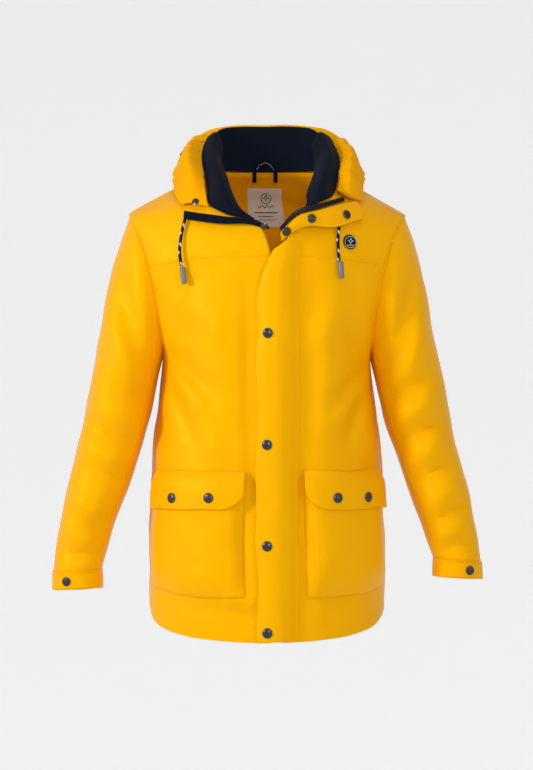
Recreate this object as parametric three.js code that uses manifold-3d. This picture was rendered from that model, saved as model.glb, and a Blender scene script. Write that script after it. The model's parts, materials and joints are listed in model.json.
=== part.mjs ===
// A yellow foul weather jacket with its hood down and its collar laid open.
// Millimetres, +Z up, the front faces -Y, and +X is the wearer's left.
// The pieces are worked out above the centre of the hem, then the whole jacket
// is moved so that its origin is the top of the hanger loop.
import * as THREE from "three";
import Module from "manifold-3d";

const wasm = await Module();
wasm.setup();

// ---------------------------------------------------------------- driving sizes
const HEM_HALF_WIDTH = 193;
const SEAT_HALF_WIDTH = 191;
const UNDERARM_HALF_WIDTH = 172;
const SHOULDER_HALF_WIDTH = 227;
const NECK_HALF_WIDTH = 88;
const FRONT_DEPTH = 145;
const BACK_DEPTH = 138;
const ROUNDNESS = 0.85; // 1 makes the body an ellipse, less makes it squarer

const HEM_RISE = 50; // the hem is this much higher at the side seams
const UNDERARM_HEIGHT = 462;
const SHOULDER_HEIGHT = 700;
const NECK_HEIGHT = 771;
const YOKE_HEIGHT = 627;
const YOKE_ANGLE = 76; // degrees round the armhole from its top
const ARMHOLE_HALF_DEPTH = 78;

const CLOTH = 1.6;
const THIN_CLOTH = 1;
const SEAM_GAP = 0.4; // between two panels sewn edge to edge
const LAYER_GAP = 0.35; // between two layers that lie on each other
const SEWN_FULLNESS = 0.95; // between the shell and a facing sewn inside a curve

const ZIP_X = 17; // the front opening lies this far to the wearer's left
const ZIP_HALF_GAP = 6.4;
const ZIP_TOP = 612;
const ZIP_BOTTOM = 24;
const TAPE_WIDTH = 15;
const TAPE_THICKNESS = 1;
const ROW_WIDTH = 2.6;
const ROW_THICKNESS = 3;
const ROW_SLOT = 1.8;
const SLIDER = { width: 10.4, height: 15, plate: 1.2, clearance: 0.5, post: 1 };

const FLAP_FREE_X = -16;
const FLAP_SEWN_X = 52;
const FLAP_STRAIGHT = 556; // the storm flap is straight up to this height, then curves into the collar
const FLAP_LIFT = 11.5; // the storm flap arches this far off the front
const STORM_SNAP_X = 1;
const STORM_SNAP_HEIGHTS = [17, 157, 321, 502];

const POCKET = { inner: 0.155, outer: 0.86, top: 262, bottom: 72, outerRise: 24, bulge: 9 };
const POCKET_FLAP = { inner: 0.15, outer: 0.83, top: 279, height: 63, cut: 0.12, cutHeight: 24, lift: 3.2 };
const POCKET_SNAPS = { places: [0.3, 0.665], above: 19 };

const CUFF_HEIGHT = 29;
const CUFF_THICKNESS = 2.2;
const CUFF_TAB = { free: 32, sewn: 128, snap: 66, margin: 2.5 };
const SNAP = { radius: 8.5, dome: 2.6, post: 2.2, socket: 6, socketDepth: 1.6 };

const LABEL = { width: 59, height: 64, drop: 25 };
const LOOP = { halfWidth: 21, rise: 17, tape: 7, thickness: 1.4 };
const CORD = { radius: 2.6, hang: 62 };
const TIP = { radius: 4.6, length: 28 };
const BADGE_RADIUS = 12.2;

// ---------------------------------------------------------------- finishes
const FINISHES = {
  shell_yellow: { color: 0xfdb602, roughness: 0.5, metalness: 0 },
  facing_yellow: { color: 0xf0a400, roughness: 0.7, metalness: 0 },
  lining_navy: { color: 0x14213a, roughness: 0.85, metalness: 0 },
  zip_black: { color: 0x1b1c1f, roughness: 0.45, metalness: 0 },
  snap_navy: { color: 0x171b24, roughness: 0.3, metalness: 0.2 },
  snap_brass: { color: 0x8f7a4a, roughness: 0.35, metalness: 0.9 },
  label_white: { color: 0xe2ddd2, roughness: 0.8, metalness: 0 },
  badge_navy: { color: 0x1c2844, roughness: 0.75, metalness: 0 },
  cord_navy: { color: 0x1a2238, roughness: 0.85, metalness: 0 },
  tip_grey: { color: 0x6f7378, roughness: 0.45, metalness: 0 },
};

const jacket = new THREE.Group();
jacket.name = "foul_weather_jacket";

function addPiece(name, geometry, slot) {
  const finish = FINISHES[slot];
  const material = new THREE.MeshStandardMaterial(finish);
  material.name = slot;
  const mesh = new THREE.Mesh(geometry, material);
  mesh.name = name;
  jacket.add(mesh);
  return mesh;
}

// ---------------------------------------------------------------- helpers
const radians = THREE.MathUtils.degToRad;
const lerp = THREE.MathUtils.lerp;
const point = (x, y, z) => new THREE.Vector3(x, y, z);
const SIDES = { right: -1, left: 1 };

/** A smooth curve through points; evaluated by its own parameter, 0 to 1. */
function through(...points) {
  const curve = new THREE.CatmullRomCurve3(points, false, "centripetal");
  return (t) => curve.getPoint(Math.min(Math.max(t, 0), 1));
}

/** A number that follows [place, value] pairs smoothly. */
function along(pairs) {
  return (place) => {
    const last = pairs.length - 1;
    if (place <= pairs[0][0]) return pairs[0][1];
    if (place >= pairs[last][0]) return pairs[last][1];
    const i = pairs.findIndex((pair) => pair[0] > place) - 1;
    const width = pairs[i + 1][0] - pairs[i][0];
    const t = (place - pairs[i][0]) / width;
    const before = pairs[Math.max(i - 1, 0)];
    const after = pairs[Math.min(i + 2, last)];
    const leave = ((pairs[i + 1][1] - before[1]) / (pairs[i + 1][0] - before[0])) * width;
    const arrive = ((after[1] - pairs[i][1]) / (after[0] - pairs[i][0])) * width;
    const t2 = t * t;
    const t3 = t2 * t;
    const start = (2 * t3 - 3 * t2 + 1) * pairs[i][1] + (t3 - 2 * t2 + t) * leave;
    return start + (3 * t2 - 2 * t3) * pairs[i + 1][1] + (t3 - t2) * arrive;
  };
}

/**
 * The surface that fills four edge curves: bottom and top in u, start and end in v.
 * A larger ease keeps the shape of the end edge nearer to that edge.
 */
function patch(bottom, top, start, end, ease = 1) {
  return (u, v) => {
    const across = u ** ease;
    const low = bottom(u).multiplyScalar(1 - v);
    const high = top(u).multiplyScalar(v);
    const near = start(v).multiplyScalar(1 - across);
    const far = end(v).multiplyScalar(across);
    const corners = bottom(0).multiplyScalar((1 - across) * (1 - v));
    corners.add(bottom(1).multiplyScalar(across * (1 - v)));
    corners.add(top(0).multiplyScalar((1 - across) * v));
    corners.add(top(1).multiplyScalar(across * v));
    return low.add(high).add(near).add(far).sub(corners);
  };
}

/** The direction that points out of a surface; hand is 1 or -1. */
function normalAt(surface, u, v, hand) {
  const step = 0.004;
  const alongU = surface(Math.min(u + step, 1), v).sub(surface(Math.max(u - step, 0), v));
  const alongV = surface(u, Math.min(v + step, 1)).sub(surface(u, Math.max(v - step, 0)));
  return alongU.cross(alongV).normalize().multiplyScalar(hand);
}

/** The same surface, moved out along its own normals. */
function raised(surface, hand, distance) {
  const height = typeof distance === "function" ? distance : () => distance;
  return (u, v) => {
    const out = normalAt(surface, u, v, hand);
    return surface(u, v).addScaledVector(out, height(u, v));
  };
}

/** A part of a surface, with its own u and v from 0 to 1. */
function region(surface, u0, u1, v0, v1) {
  return (u, v) => surface(lerp(u0, u1, u), lerp(v0, v1, v));
}

/**
 * A closed sheet of cloth between an outer surface and its own offset.
 * hand says which side is out; round joins the u edges into a tube.
 */
function cloth(outer, columns, rows, thickness, hand, round = false) {
  const positions = [];
  const faces = [];
  const width = columns + 1;
  for (const layer of [0, 1]) {
    for (let j = 0; j <= rows; j += 1) {
      for (let i = 0; i <= columns; i += 1) {
        const u = round && i === columns ? 0 : i / columns;
        const v = j / rows;
        const place = outer(u, v);
        place.addScaledVector(normalAt(outer, Math.max(u, 0), v, hand), -layer * thickness);
        positions.push(place.x, place.y, place.z);
      }
    }
  }
  const at = (layer, i, j) => layer * width * (rows + 1) + j * width + i;
  const quad = (a, b, c, d) => {
    if (hand > 0) faces.push(a, b, c, a, c, d);
    else faces.push(a, c, b, a, d, c);
  };
  for (let j = 0; j < rows; j += 1) {
    for (let i = 0; i < columns; i += 1) {
      quad(at(0, i, j), at(0, i + 1, j), at(0, i + 1, j + 1), at(0, i, j + 1));
      quad(at(1, i, j), at(1, i, j + 1), at(1, i + 1, j + 1), at(1, i + 1, j));
    }
  }
  for (let i = 0; i < columns; i += 1) {
    quad(at(0, i, 0), at(1, i, 0), at(1, i + 1, 0), at(0, i + 1, 0));
    quad(at(0, i, rows), at(0, i + 1, rows), at(1, i + 1, rows), at(1, i, rows));
  }
  for (let j = 0; j < rows && !round; j += 1) {
    quad(at(0, 0, j), at(0, 0, j + 1), at(1, 0, j + 1), at(1, 0, j));
    quad(at(0, columns, j), at(1, columns, j), at(1, columns, j + 1), at(0, columns, j + 1));
  }
  const geometry = new THREE.BufferGeometry();
  geometry.setAttribute("position", new THREE.Float32BufferAttribute(positions, 3));
  geometry.setIndex(faces);
  return geometry;
}

/** Turns a right-side surface or curve into the left-side one. */
function mirrored(surface) {
  return (u, v) => {
    const place = surface(u, v);
    place.x = -place.x;
    return place;
  };
}

/** A round solid on a turning axis, moved so that it looks along a direction. */
function turned(profile, segments, place, direction) {
  const outline = profile.map(([radius, height]) => new THREE.Vector2(radius, height));
  const geometry = new THREE.LatheGeometry(outline, segments);
  const turn = new THREE.Quaternion();
  turn.setFromUnitVectors(point(0, 1, 0), direction.clone().normalize());
  geometry.applyQuaternion(turn);
  geometry.translate(place.x, place.y, place.z);
  return geometry;
}

/** A round cord or a flat tape along a curve. */
function swept(curve, outline, steps) {
  const shape = new THREE.Shape(outline.map(([x, y]) => new THREE.Vector2(x, y)));
  return new THREE.ExtrudeGeometry(shape, { steps, bevelEnabled: false, extrudePath: curve });
}

function circleOutline(radius, sides) {
  return Array.from({ length: sides }, (_, i) => {
    const turn = (i / sides) * Math.PI * 2;
    return [radius * Math.cos(turn), radius * Math.sin(turn)];
  });
}

function toSolid(geometry) {
  const source = geometry.index ? geometry.toNonIndexed() : geometry;
  const place = source.attributes.position;
  const mesh = new wasm.Mesh({
    numProp: 3,
    vertProperties: new Float32Array(place.array),
    triVerts: new Uint32Array(place.count).map((_, i) => i),
  });
  mesh.merge();
  return new wasm.Manifold(mesh);
}

function fromSolid(solid) {
  const mesh = solid.getMesh();
  const geometry = new THREE.BufferGeometry();
  geometry.setAttribute("position", new THREE.Float32BufferAttribute(mesh.vertProperties, 3));
  geometry.setIndex(Array.from(mesh.triVerts));
  return geometry;
}

/** Joins touching geometries into one solid. */
function joined(...geometries) {
  return fromSolid(wasm.Manifold.union(geometries.map(toSolid)));
}

function boxAt(x0, x1, y0, y1, z0, z1) {
  const geometry = new THREE.BoxGeometry(x1 - x0, y1 - y0, z1 - z0);
  geometry.translate((x0 + x1) / 2, (y0 + y1) / 2, (z0 + z1) / 2);
  return geometry;
}

// ---------------------------------------------------------------- the body
const sideWidth = along([
  [HEM_RISE, HEM_HALF_WIDTH],
  [140, HEM_HALF_WIDTH + 1],
  [240, SEAT_HALF_WIDTH],
  [320, SEAT_HALF_WIDTH - 4],
  [400, UNDERARM_HALF_WIDTH + 5],
  [UNDERARM_HEIGHT, UNDERARM_HALF_WIDTH],
]);

/** A level outline round the body, by angle from the front (0) to the side (90). */
function outline(angle, halfWidth, depth) {
  const turn = radians(angle);
  const y = Math.sign(Math.cos(turn)) * Math.abs(Math.cos(turn)) ** ROUNDNESS * depth;
  return { x: Math.sin(turn) * halfWidth, y: -y };
}

/** The armhole seam on the wearer's left, by angle from its top towards the front. */
function armhole(angle) {
  const turn = radians(angle);
  const middle = (SHOULDER_HEIGHT + UNDERARM_HEIGHT) / 2;
  const reach = (SHOULDER_HEIGHT - UNDERARM_HEIGHT) / 2;
  const across = (SHOULDER_HALF_WIDTH + UNDERARM_HALF_WIDTH) / 2;
  const lean = (SHOULDER_HALF_WIDTH - UNDERARM_HALF_WIDTH) / 2;
  const x = across + lean * Math.cos(turn) - 16 * Math.sin(turn) ** 2;
  return point(x, -ARMHOLE_HALF_DEPTH * Math.sin(turn), middle + reach * Math.cos(turn));
}

/** The edge of a body panel: up the side seam, then up the armhole. facing: 1 front, -1 back. */
function panelSide(facing, topAngle) {
  const share = 0.7;
  return (v) => {
    if (v <= share) {
      const z = lerp(HEM_RISE, UNDERARM_HEIGHT, v / share);
      return point(sideWidth(z), 0, z);
    }
    return armhole(lerp(180, topAngle, (v - share) / (1 - share)) * facing);
  };
}

/** The hem as a curve, from one angle to another, and the yoke seam above it. */
function hemLine(depth, from, to, lift = 0) {
  return (u) => {
    const angle = lerp(from, to, u);
    const { x, y } = outline(angle, HEM_HALF_WIDTH, depth);
    const side = Math.abs(Math.asin(Math.sin(radians(angle)))) / (Math.PI / 2);
    return point(x, y, HEM_RISE * side ** 2.2 + lift);
  };
}

function yokeLine(depth, facing, lift = 0) {
  const end = armhole(YOKE_ANGLE);
  const turn = Math.acos((Math.abs(end.y) / depth) ** (1 / ROUNDNESS));
  const halfWidth = end.x / Math.sin(turn);
  return (x) => {
    const angle = Math.asin(Math.max(-1, Math.min(1, x / halfWidth)));
    const y = -facing * depth * Math.abs(Math.cos(angle)) ** ROUNDNESS;
    const drop = (YOKE_HEIGHT - end.z) * (Math.abs(angle) / turn) ** 2;
    return point(x, y, YOKE_HEIGHT - drop + lift);
  };
}

const frontYokeLine = yokeLine(FRONT_DEPTH, 1);
const backYokeLine = yokeLine(BACK_DEPTH, -1);
const yokeEnd = armhole(YOKE_ANGLE);

/** One front below the yoke; u runs from the opening to the side, v upwards. */
function frontPanel(side) {
  const inner = side * (ZIP_X + side * ZIP_HALF_GAP);
  const firstAngle = THREE.MathUtils.radToDeg(Math.asin(inner / HEM_HALF_WIDTH));
  const hem = hemLine(FRONT_DEPTH, firstAngle, 90);
  const seam = (u) => {
    const x = lerp(inner, yokeEnd.x, Math.sin((u * Math.PI) / 2.6) / Math.sin(Math.PI / 2.6));
    return frontYokeLine(x);
  };
  const open = (v) => hem(0).lerp(seam(0), v);
  const surface = patch(hem, seam, open, panelSide(1, YOKE_ANGLE), 2.6);
  return side > 0 ? surface : mirrored(surface);
}

const fronts = { right: frontPanel(-1), left: frontPanel(1) };
for (const [name, side] of Object.entries(SIDES)) {
  const panel = region(fronts[name], 0, 0.999, 0.0006, 0.9994);
  addPiece(`front_panel_${name}`, cloth(panel, 16, 14, CLOTH, side), "shell_yellow");
}

/** Joins a left half, u from the middle out, to its mirror image, u from left to right. */
function bothHalves(half) {
  const other = mirrored(half);
  return (u, v) => (u < 0.5 ? half(1 - 2 * u, v) : other(2 * u - 1, v));
}

const backPanel = (() => {
  const seam = (u) => backYokeLine(yokeEnd.x * u);
  const hem = hemLine(BACK_DEPTH, 180, 90);
  const middle = (v) => hem(0).lerp(seam(0), v);
  return bothHalves(patch(hem, seam, middle, panelSide(-1, YOKE_ANGLE), 2.6));
})();
const backCut = region(backPanel, 0.0015, 0.9985, 0.0006, 0.9994);
addPiece("back_panel", cloth(backCut, 26, 14, CLOTH, 1), "shell_yellow");

// ---------------------------------------------------------------- the yokes
const ridgeLine = (side) => (t) => {
  const rise = 5 * Math.sin(Math.PI * t);
  const x = lerp(NECK_HALF_WIDTH, SHOULDER_HALF_WIDTH, t);
  return point(side * x, 0, lerp(NECK_HEIGHT - 2, SHOULDER_HEIGHT, t) + rise);
};

const upperArmhole = (facing) => (t) => armhole(facing * lerp(YOKE_ANGLE, 0, t));

/** Where each front turns over into the collar, from the yoke seam to the neck. */
const turnLines = {
  right: through(
    point(ZIP_X - ZIP_HALF_GAP - 3, -144.5, YOKE_HEIGHT),
    point(-8, -139, YOKE_HEIGHT + 46),
    point(-46, -120, YOKE_HEIGHT + 79),
    point(-62, -88, YOKE_HEIGHT + 110),
    point(-NECK_HALF_WIDTH, 0, NECK_HEIGHT - 2),
  ),
  left: through(
    point(ZIP_X + ZIP_HALF_GAP, -144, YOKE_HEIGHT),
    point(36, -139, YOKE_HEIGHT + 37),
    point(64, -119, YOKE_HEIGHT + 78),
    point(74, -86, YOKE_HEIGHT + 110),
    point(NECK_HALF_WIDTH, 0, NECK_HEIGHT - 2),
  ),
};

function frontYoke(name) {
  const side = SIDES[name];
  const flip = (place) => (side > 0 ? place : point(-place.x, place.y, place.z));
  const turn = turnLines[name];
  const inner = turn(0).x;
  const seam = (u) => frontYokeLine(lerp(inner, side * yokeEnd.x, u));
  const outer = (v) => flip(upperArmhole(1)(v));
  return patch(seam, ridgeLine(side), turn, outer);
}

const frontYokes = { right: frontYoke("right"), left: frontYoke("left") };
for (const [name, side] of Object.entries(SIDES)) {
  const yoke = region(frontYokes[name], 0, 0.997, 0.003, 0.997);
  addPiece(`front_yoke_${name}`, cloth(yoke, 10, 9, CLOTH, side), "shell_yellow");
}

const neckBack = through(
  point(0, 65, NECK_HEIGHT),
  point(38, 60, NECK_HEIGHT),
  point(74, 38, NECK_HEIGHT - 1),
  point(NECK_HALF_WIDTH, 0, NECK_HEIGHT - 2),
);

const backYoke = (() => {
  const seam = (u) => backYokeLine(yokeEnd.x * u);
  const shoulder = 0.42;
  const top = (u) => {
    if (u < shoulder) return neckBack(u / shoulder);
    return ridgeLine(1)((u - shoulder) / (1 - shoulder));
  };
  const middle = through(
    point(0, BACK_DEPTH, YOKE_HEIGHT),
    point(0, BACK_DEPTH - 6, YOKE_HEIGHT + 53),
    point(0, BACK_DEPTH - 31, YOKE_HEIGHT + 103),
    neckBack(0),
  );
  return bothHalves(patch(seam, top, middle, upperArmhole(-1)));
})();
const backYokeCut = region(backYoke, 0.002, 0.998, 0.003, 0.997);
addPiece("back_yoke", cloth(backYokeCut, 22, 7, CLOTH, 1), "shell_yellow");

// ---------------------------------------------------------------- the sleeves
// Each row is a ring: its outer and inner points in front view, half its depth, and
// how far its middle lies forward. The last row is the cuff seam.
const SLEEVE_RINGS = [
  { outer: [227, 700], inner: [172, 462], depth: 78, forward: 0 },
  { outer: [243, 655], inner: [175, 446], depth: 80, forward: 1 },
  { outer: [259, 596], inner: [180, 424], depth: 80, forward: 2 },
  { outer: [272, 530], inner: [185, 396], depth: 78, forward: 4 },
  { outer: [283, 458], inner: [192, 362], depth: 75, forward: 6 },
  { outer: [298, 382], inner: [205, 318], depth: 70, forward: 9 },
  { outer: [315, 306], inner: [223, 265], depth: 64, forward: 13 },
  { outer: [333, 232], inner: [244, 208], depth: 57, forward: 18 },
  { outer: [346, 165], inner: [261, 156], depth: 50, forward: 23 },
  { outer: [352, 117], inner: [272, 119], depth: 46, forward: 26 },
];
const SLEEVE_LIFT = { right: -4, left: 14 }; // how much higher each cuff hangs

function sleeve(name) {
  const side = SIDES[name];
  const last = SLEEVE_RINGS.length - 1;
  const follow = (pick) => along(SLEEVE_RINGS.map((ring, i) => [i / last, pick(ring)]));
  const outerX = follow((ring) => ring.outer[0]);
  const outerZ = follow((ring) => ring.outer[1]);
  const innerX = follow((ring) => ring.inner[0]);
  const innerZ = follow((ring) => ring.inner[1]);
  const depth = follow((ring) => ring.depth);
  const forward = follow((ring) => ring.forward);
  const reach = SHOULDER_HALF_WIDTH - 227;
  const height = SHOULDER_HEIGHT - 700;
  return (angle, v) => {
    const turn = radians(angle);
    const middleX = (outerX(v) + innerX(v)) / 2 + reach;
    const middleZ = (outerZ(v) + innerZ(v)) / 2 + height + SLEEVE_LIFT[name] * v * v;
    const halfX = (outerX(v) - innerX(v)) / 2;
    const halfZ = (outerZ(v) - innerZ(v)) / 2;
    const x = middleX + halfX * Math.cos(turn) - 16 * Math.sin(turn) ** 2 * (1 - v) ** 6;
    const y = -forward(v) - depth(v) * Math.sin(turn);
    return point(side * x, y, middleZ + halfZ * Math.cos(turn));
  };
}

const SLEEVE_SEAM = 146; // degrees from the outer edge to each long seam
const sleeves = { right: sleeve("right"), left: sleeve("left") };
for (const [name, side] of Object.entries(SIDES)) {
  const surface = sleeves[name];
  const start = 0.004;
  const top = (u, v) => surface(lerp(-SLEEVE_SEAM, SLEEVE_SEAM, u), lerp(start, 1, v));
  const under = (u, v) => {
    return surface(lerp(SLEEVE_SEAM + 0.4, 359.6 - SLEEVE_SEAM, u), lerp(start, 1, v));
  };
  addPiece(`sleeve_top_${name}`, cloth(top, 14, 13, CLOTH, side), "shell_yellow");
  addPiece(`sleeve_under_${name}`, cloth(under, 5, 13, CLOTH, side), "shell_yellow");
}

// ---------------------------------------------------------------- snap fasteners
/** A domed cap with its post and, behind the cloth, its socket; out points off the cloth. */
function snapCap(place, out, grip) {
  const { radius, dome, post, socket, socketDepth } = SNAP;
  const profile = [
    [0, dome],
    [radius * 0.6, dome * 0.86],
    [radius * 0.9, dome * 0.5],
    [radius, 0.5],
    [radius, 0],
    [post, 0],
    [post, -grip],
    [socket, -grip],
    [socket, -grip - socketDepth],
    [0, -grip - socketDepth],
  ];
  return turned(profile.reverse(), 14, place, out);
}

/** Cuts a round hole for a snap's post, with clearance, through a piece of cloth. */
function pierced(geometry, places) {
  let solid = toSolid(geometry);
  for (const { place, out, radius } of places) {
    const length = 30;
    const drill = new THREE.CylinderGeometry(radius, radius, length, 12);
    const turn = new THREE.Quaternion();
    turn.setFromUnitVectors(point(0, 1, 0), out.clone().normalize());
    drill.applyQuaternion(turn);
    drill.translate(place.x, place.y, place.z);
    solid = solid.subtract(toSolid(drill));
  }
  return fromSolid(solid);
}

const POST_HOLE = SNAP.post + 0.3;

// ---------------------------------------------------------------- the cuffs
for (const [name, side] of Object.entries(SIDES)) {
  const surface = sleeves[name];
  const end = (angle) => surface(angle, 1);
  const middle = end(0).add(end(180)).multiplyScalar(0.5);
  const ring = (angle, lift, drop) => {
    const rim = end(angle);
    const out = rim.clone().sub(middle).setZ(0).normalize();
    rim.addScaledVector(out, lift);
    rim.z -= drop;
    return rim;
  };
  const band = (u, v) => ring(u * 360, 1.2, lerp(SEAM_GAP, CUFF_HEIGHT, v));
  addPiece(`cuff_${name}`, cloth(band, 28, 2, CUFF_THICKNESS, side, true), "shell_yellow");

  const { free, sewn, snap, margin } = CUFF_TAB;
  const lift = 1.2 + LAYER_GAP + CLOTH;
  const strap = (u, v) => {
    const drop = lerp(margin, CUFF_HEIGHT - margin, v);
    return ring(lerp(free, sewn, u), lift, drop);
  };
  const out = normalAt(strap, (snap - free) / (sewn - free), 0.5, side);
  const place = strap((snap - free) / (sewn - free), 0.5).addScaledVector(out, 0.3);
  const tab = pierced(cloth(strap, 12, 3, CLOTH, side), [{ place, out, radius: POST_HOLE }]);
  addPiece(`cuff_tab_${name}`, tab, "shell_yellow");
  const button = turned(
    [
      [0, -CLOTH - 0.3],
      [SNAP.post, -CLOTH - 0.3],
      [SNAP.post, 0],
      [SNAP.radius * 0.92, 0],
      [SNAP.radius * 0.92, 0.5],
      [SNAP.radius * 0.8, SNAP.dome * 0.6],
      [0, SNAP.dome],
    ],
    16,
    place,
    out,
  );
  addPiece(`cuff_snap_${name}`, button, "snap_navy");
}

// ---------------------------------------------------------------- finding places on the front
/** The v of a front panel where a line at u reaches a height. */
function heightOn(surface, u, z) {
  let low = 0;
  let high = 1;
  for (let i = 0; i < 24; i += 1) {
    const middle = (low + high) / 2;
    if (surface(u, middle).z < z) low = middle;
    else high = middle;
  }
  return (low + high) / 2;
}

// ---------------------------------------------------------------- the pockets
for (const [name, side] of Object.entries(SIDES)) {
  const panel = fronts[name];
  const { inner, outer, top, bottom, outerRise, bulge } = POCKET;
  const bagPlace = (u, v) => {
    const across = lerp(inner, outer, u);
    const rise = outerRise * (across - inner) ** 2 * 1.6;
    const high = heightOn(panel, across, top);
    const low = heightOn(panel, across, bottom + rise);
    const place = panel(across, lerp(low, high, v));
    const edge = Math.min(1, 6 * u, 6 * (1 - u), 6 * v, 0.3 + 4 * (1 - v));
    const puff = bulge * Math.sin((Math.PI * edge) / 2);
    const out = normalAt(panel, across, lerp(low, high, v), side);
    return place.addScaledVector(out, LAYER_GAP + CLOTH + puff);
  };
  addPiece(`pocket_bag_${name}`, cloth(bagPlace, 12, 9, CLOTH, side), "shell_yellow");

  const shape = POCKET_FLAP;
  const flapPlace = (u, v) => {
    const across = lerp(shape.inner, shape.outer, u);
    const cut = Math.max(0, 1 - u / shape.cut) * shape.cutHeight;
    const z = lerp(shape.top - shape.height + cut, shape.top, v);
    const height = heightOn(panel, across, z);
    const place = panel(across, height);
    const out = normalAt(panel, across, height, side);
    const edge = 1 - v ** 6;
    return place.addScaledVector(out, LAYER_GAP + CLOTH + (bulge + 3.4) * edge + 0.2);
  };
  const holes = POCKET_SNAPS.places.map((u) => {
    const v = POCKET_SNAPS.above / shape.height;
    const out = normalAt(flapPlace, u, v, side);
    return { place: flapPlace(u, v).addScaledVector(out, 0.6), out, radius: POST_HOLE };
  });
  const flap = pierced(cloth(flapPlace, 12, 5, CLOTH, side), holes);
  addPiece(`pocket_flap_${name}`, flap, "shell_yellow");
  holes.forEach(({ place, out }, i) => {
    const cap = snapCap(place, out, CLOTH + 1.1);
    addPiece(`pocket_snap_${name}_${i === 0 ? "inner" : "outer"}`, cap, "snap_navy");
  });
}

/** The u and v at which a surface has a given x and a given z (or, with axis, y). */
function find(surface, x, other, axis = "z") {
  const step = 0.002;
  const keep = (value) => Math.min(Math.max(value, 0.002), 0.998 - step);
  let u = 0.5;
  let v = 0.5;
  for (let i = 0; i < 30; i += 1) {
    const here = surface(u, v);
    const overU = surface(u + step, v).sub(here).divideScalar(step);
    const overV = surface(u, v + step).sub(here).divideScalar(step);
    const missX = x - here.x;
    const miss = other - here[axis];
    const size = overU.x * overV[axis] - overV.x * overU[axis];
    if (Math.abs(size) < 1e-6) break;
    u = keep(u + (0.6 * (missX * overV[axis] - overV.x * miss)) / size);
    v = keep(v + (0.6 * (overU.x * miss - missX * overU[axis])) / size);
  }
  return { u, v };
}

/** A place in front of the jacket: on the front yoke at x and z, then lifted off it. */
function onYoke(x, z, lift) {
  const yoke = frontYokes[x < 5 ? "right" : "left"];
  const { u, v } = find(yoke, x, z);
  return point(x, yoke(u, v).y - lift, z);
}

/** A place on top of the shoulder: over the front yoke at x and y, then raised. */
function overYoke(x, y, up) {
  const yoke = frontYokes[x < 5 ? "right" : "left"];
  const { u, v } = find(yoke, x, y, "y");
  return point(x, y, yoke(u, v).z + up);
}

/** A surface through rows of points: u along a row, v from row to row. */
function throughRows(rows) {
  const across = rows.map((row) => through(...row));
  return (u, v) => through(...across.map((row) => row(u)))(v);
}

// ---------------------------------------------------------------- the zip
const frontFace = (x) => -FRONT_DEPTH * Math.cos(Math.asin(x / HEM_HALF_WIDTH)) ** ROUNDNESS;
const CHAIN_Y = frontFace(0) + CLOTH + TAPE_THICKNESS / 2 + LAYER_GAP + 0.45;

function zipHalf(side) {
  const near = ZIP_X + side * (ROW_SLOT / 2);
  const far = ZIP_X + side * TAPE_WIDTH;
  const farY = frontFace(far) + CLOTH + LAYER_GAP;
  const shape = new THREE.Shape();
  const root = near + side * 1;
  shape.moveTo(root, CHAIN_Y - TAPE_THICKNESS / 2);
  shape.lineTo(far, farY);
  shape.lineTo(far, farY + TAPE_THICKNESS);
  shape.lineTo(root, CHAIN_Y + TAPE_THICKNESS / 2);
  shape.closePath();
  const tape = new THREE.ExtrudeGeometry(shape, { depth: ZIP_TOP - ZIP_BOTTOM, bevelEnabled: false });
  tape.translate(0, 0, ZIP_BOTTOM);
  const outerX = near + side * ROW_WIDTH;
  const left = Math.min(near, outerX);
  const half = ROW_THICKNESS / 2;
  const row = boxAt(left, left + ROW_WIDTH, CHAIN_Y - half, CHAIN_Y + half, ZIP_BOTTOM + 4, ZIP_TOP - 2);
  return joined(tape, row);
}

addPiece("zip_half_right", zipHalf(-1), "zip_black");
addPiece("zip_half_left", zipHalf(1), "zip_black");

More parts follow.
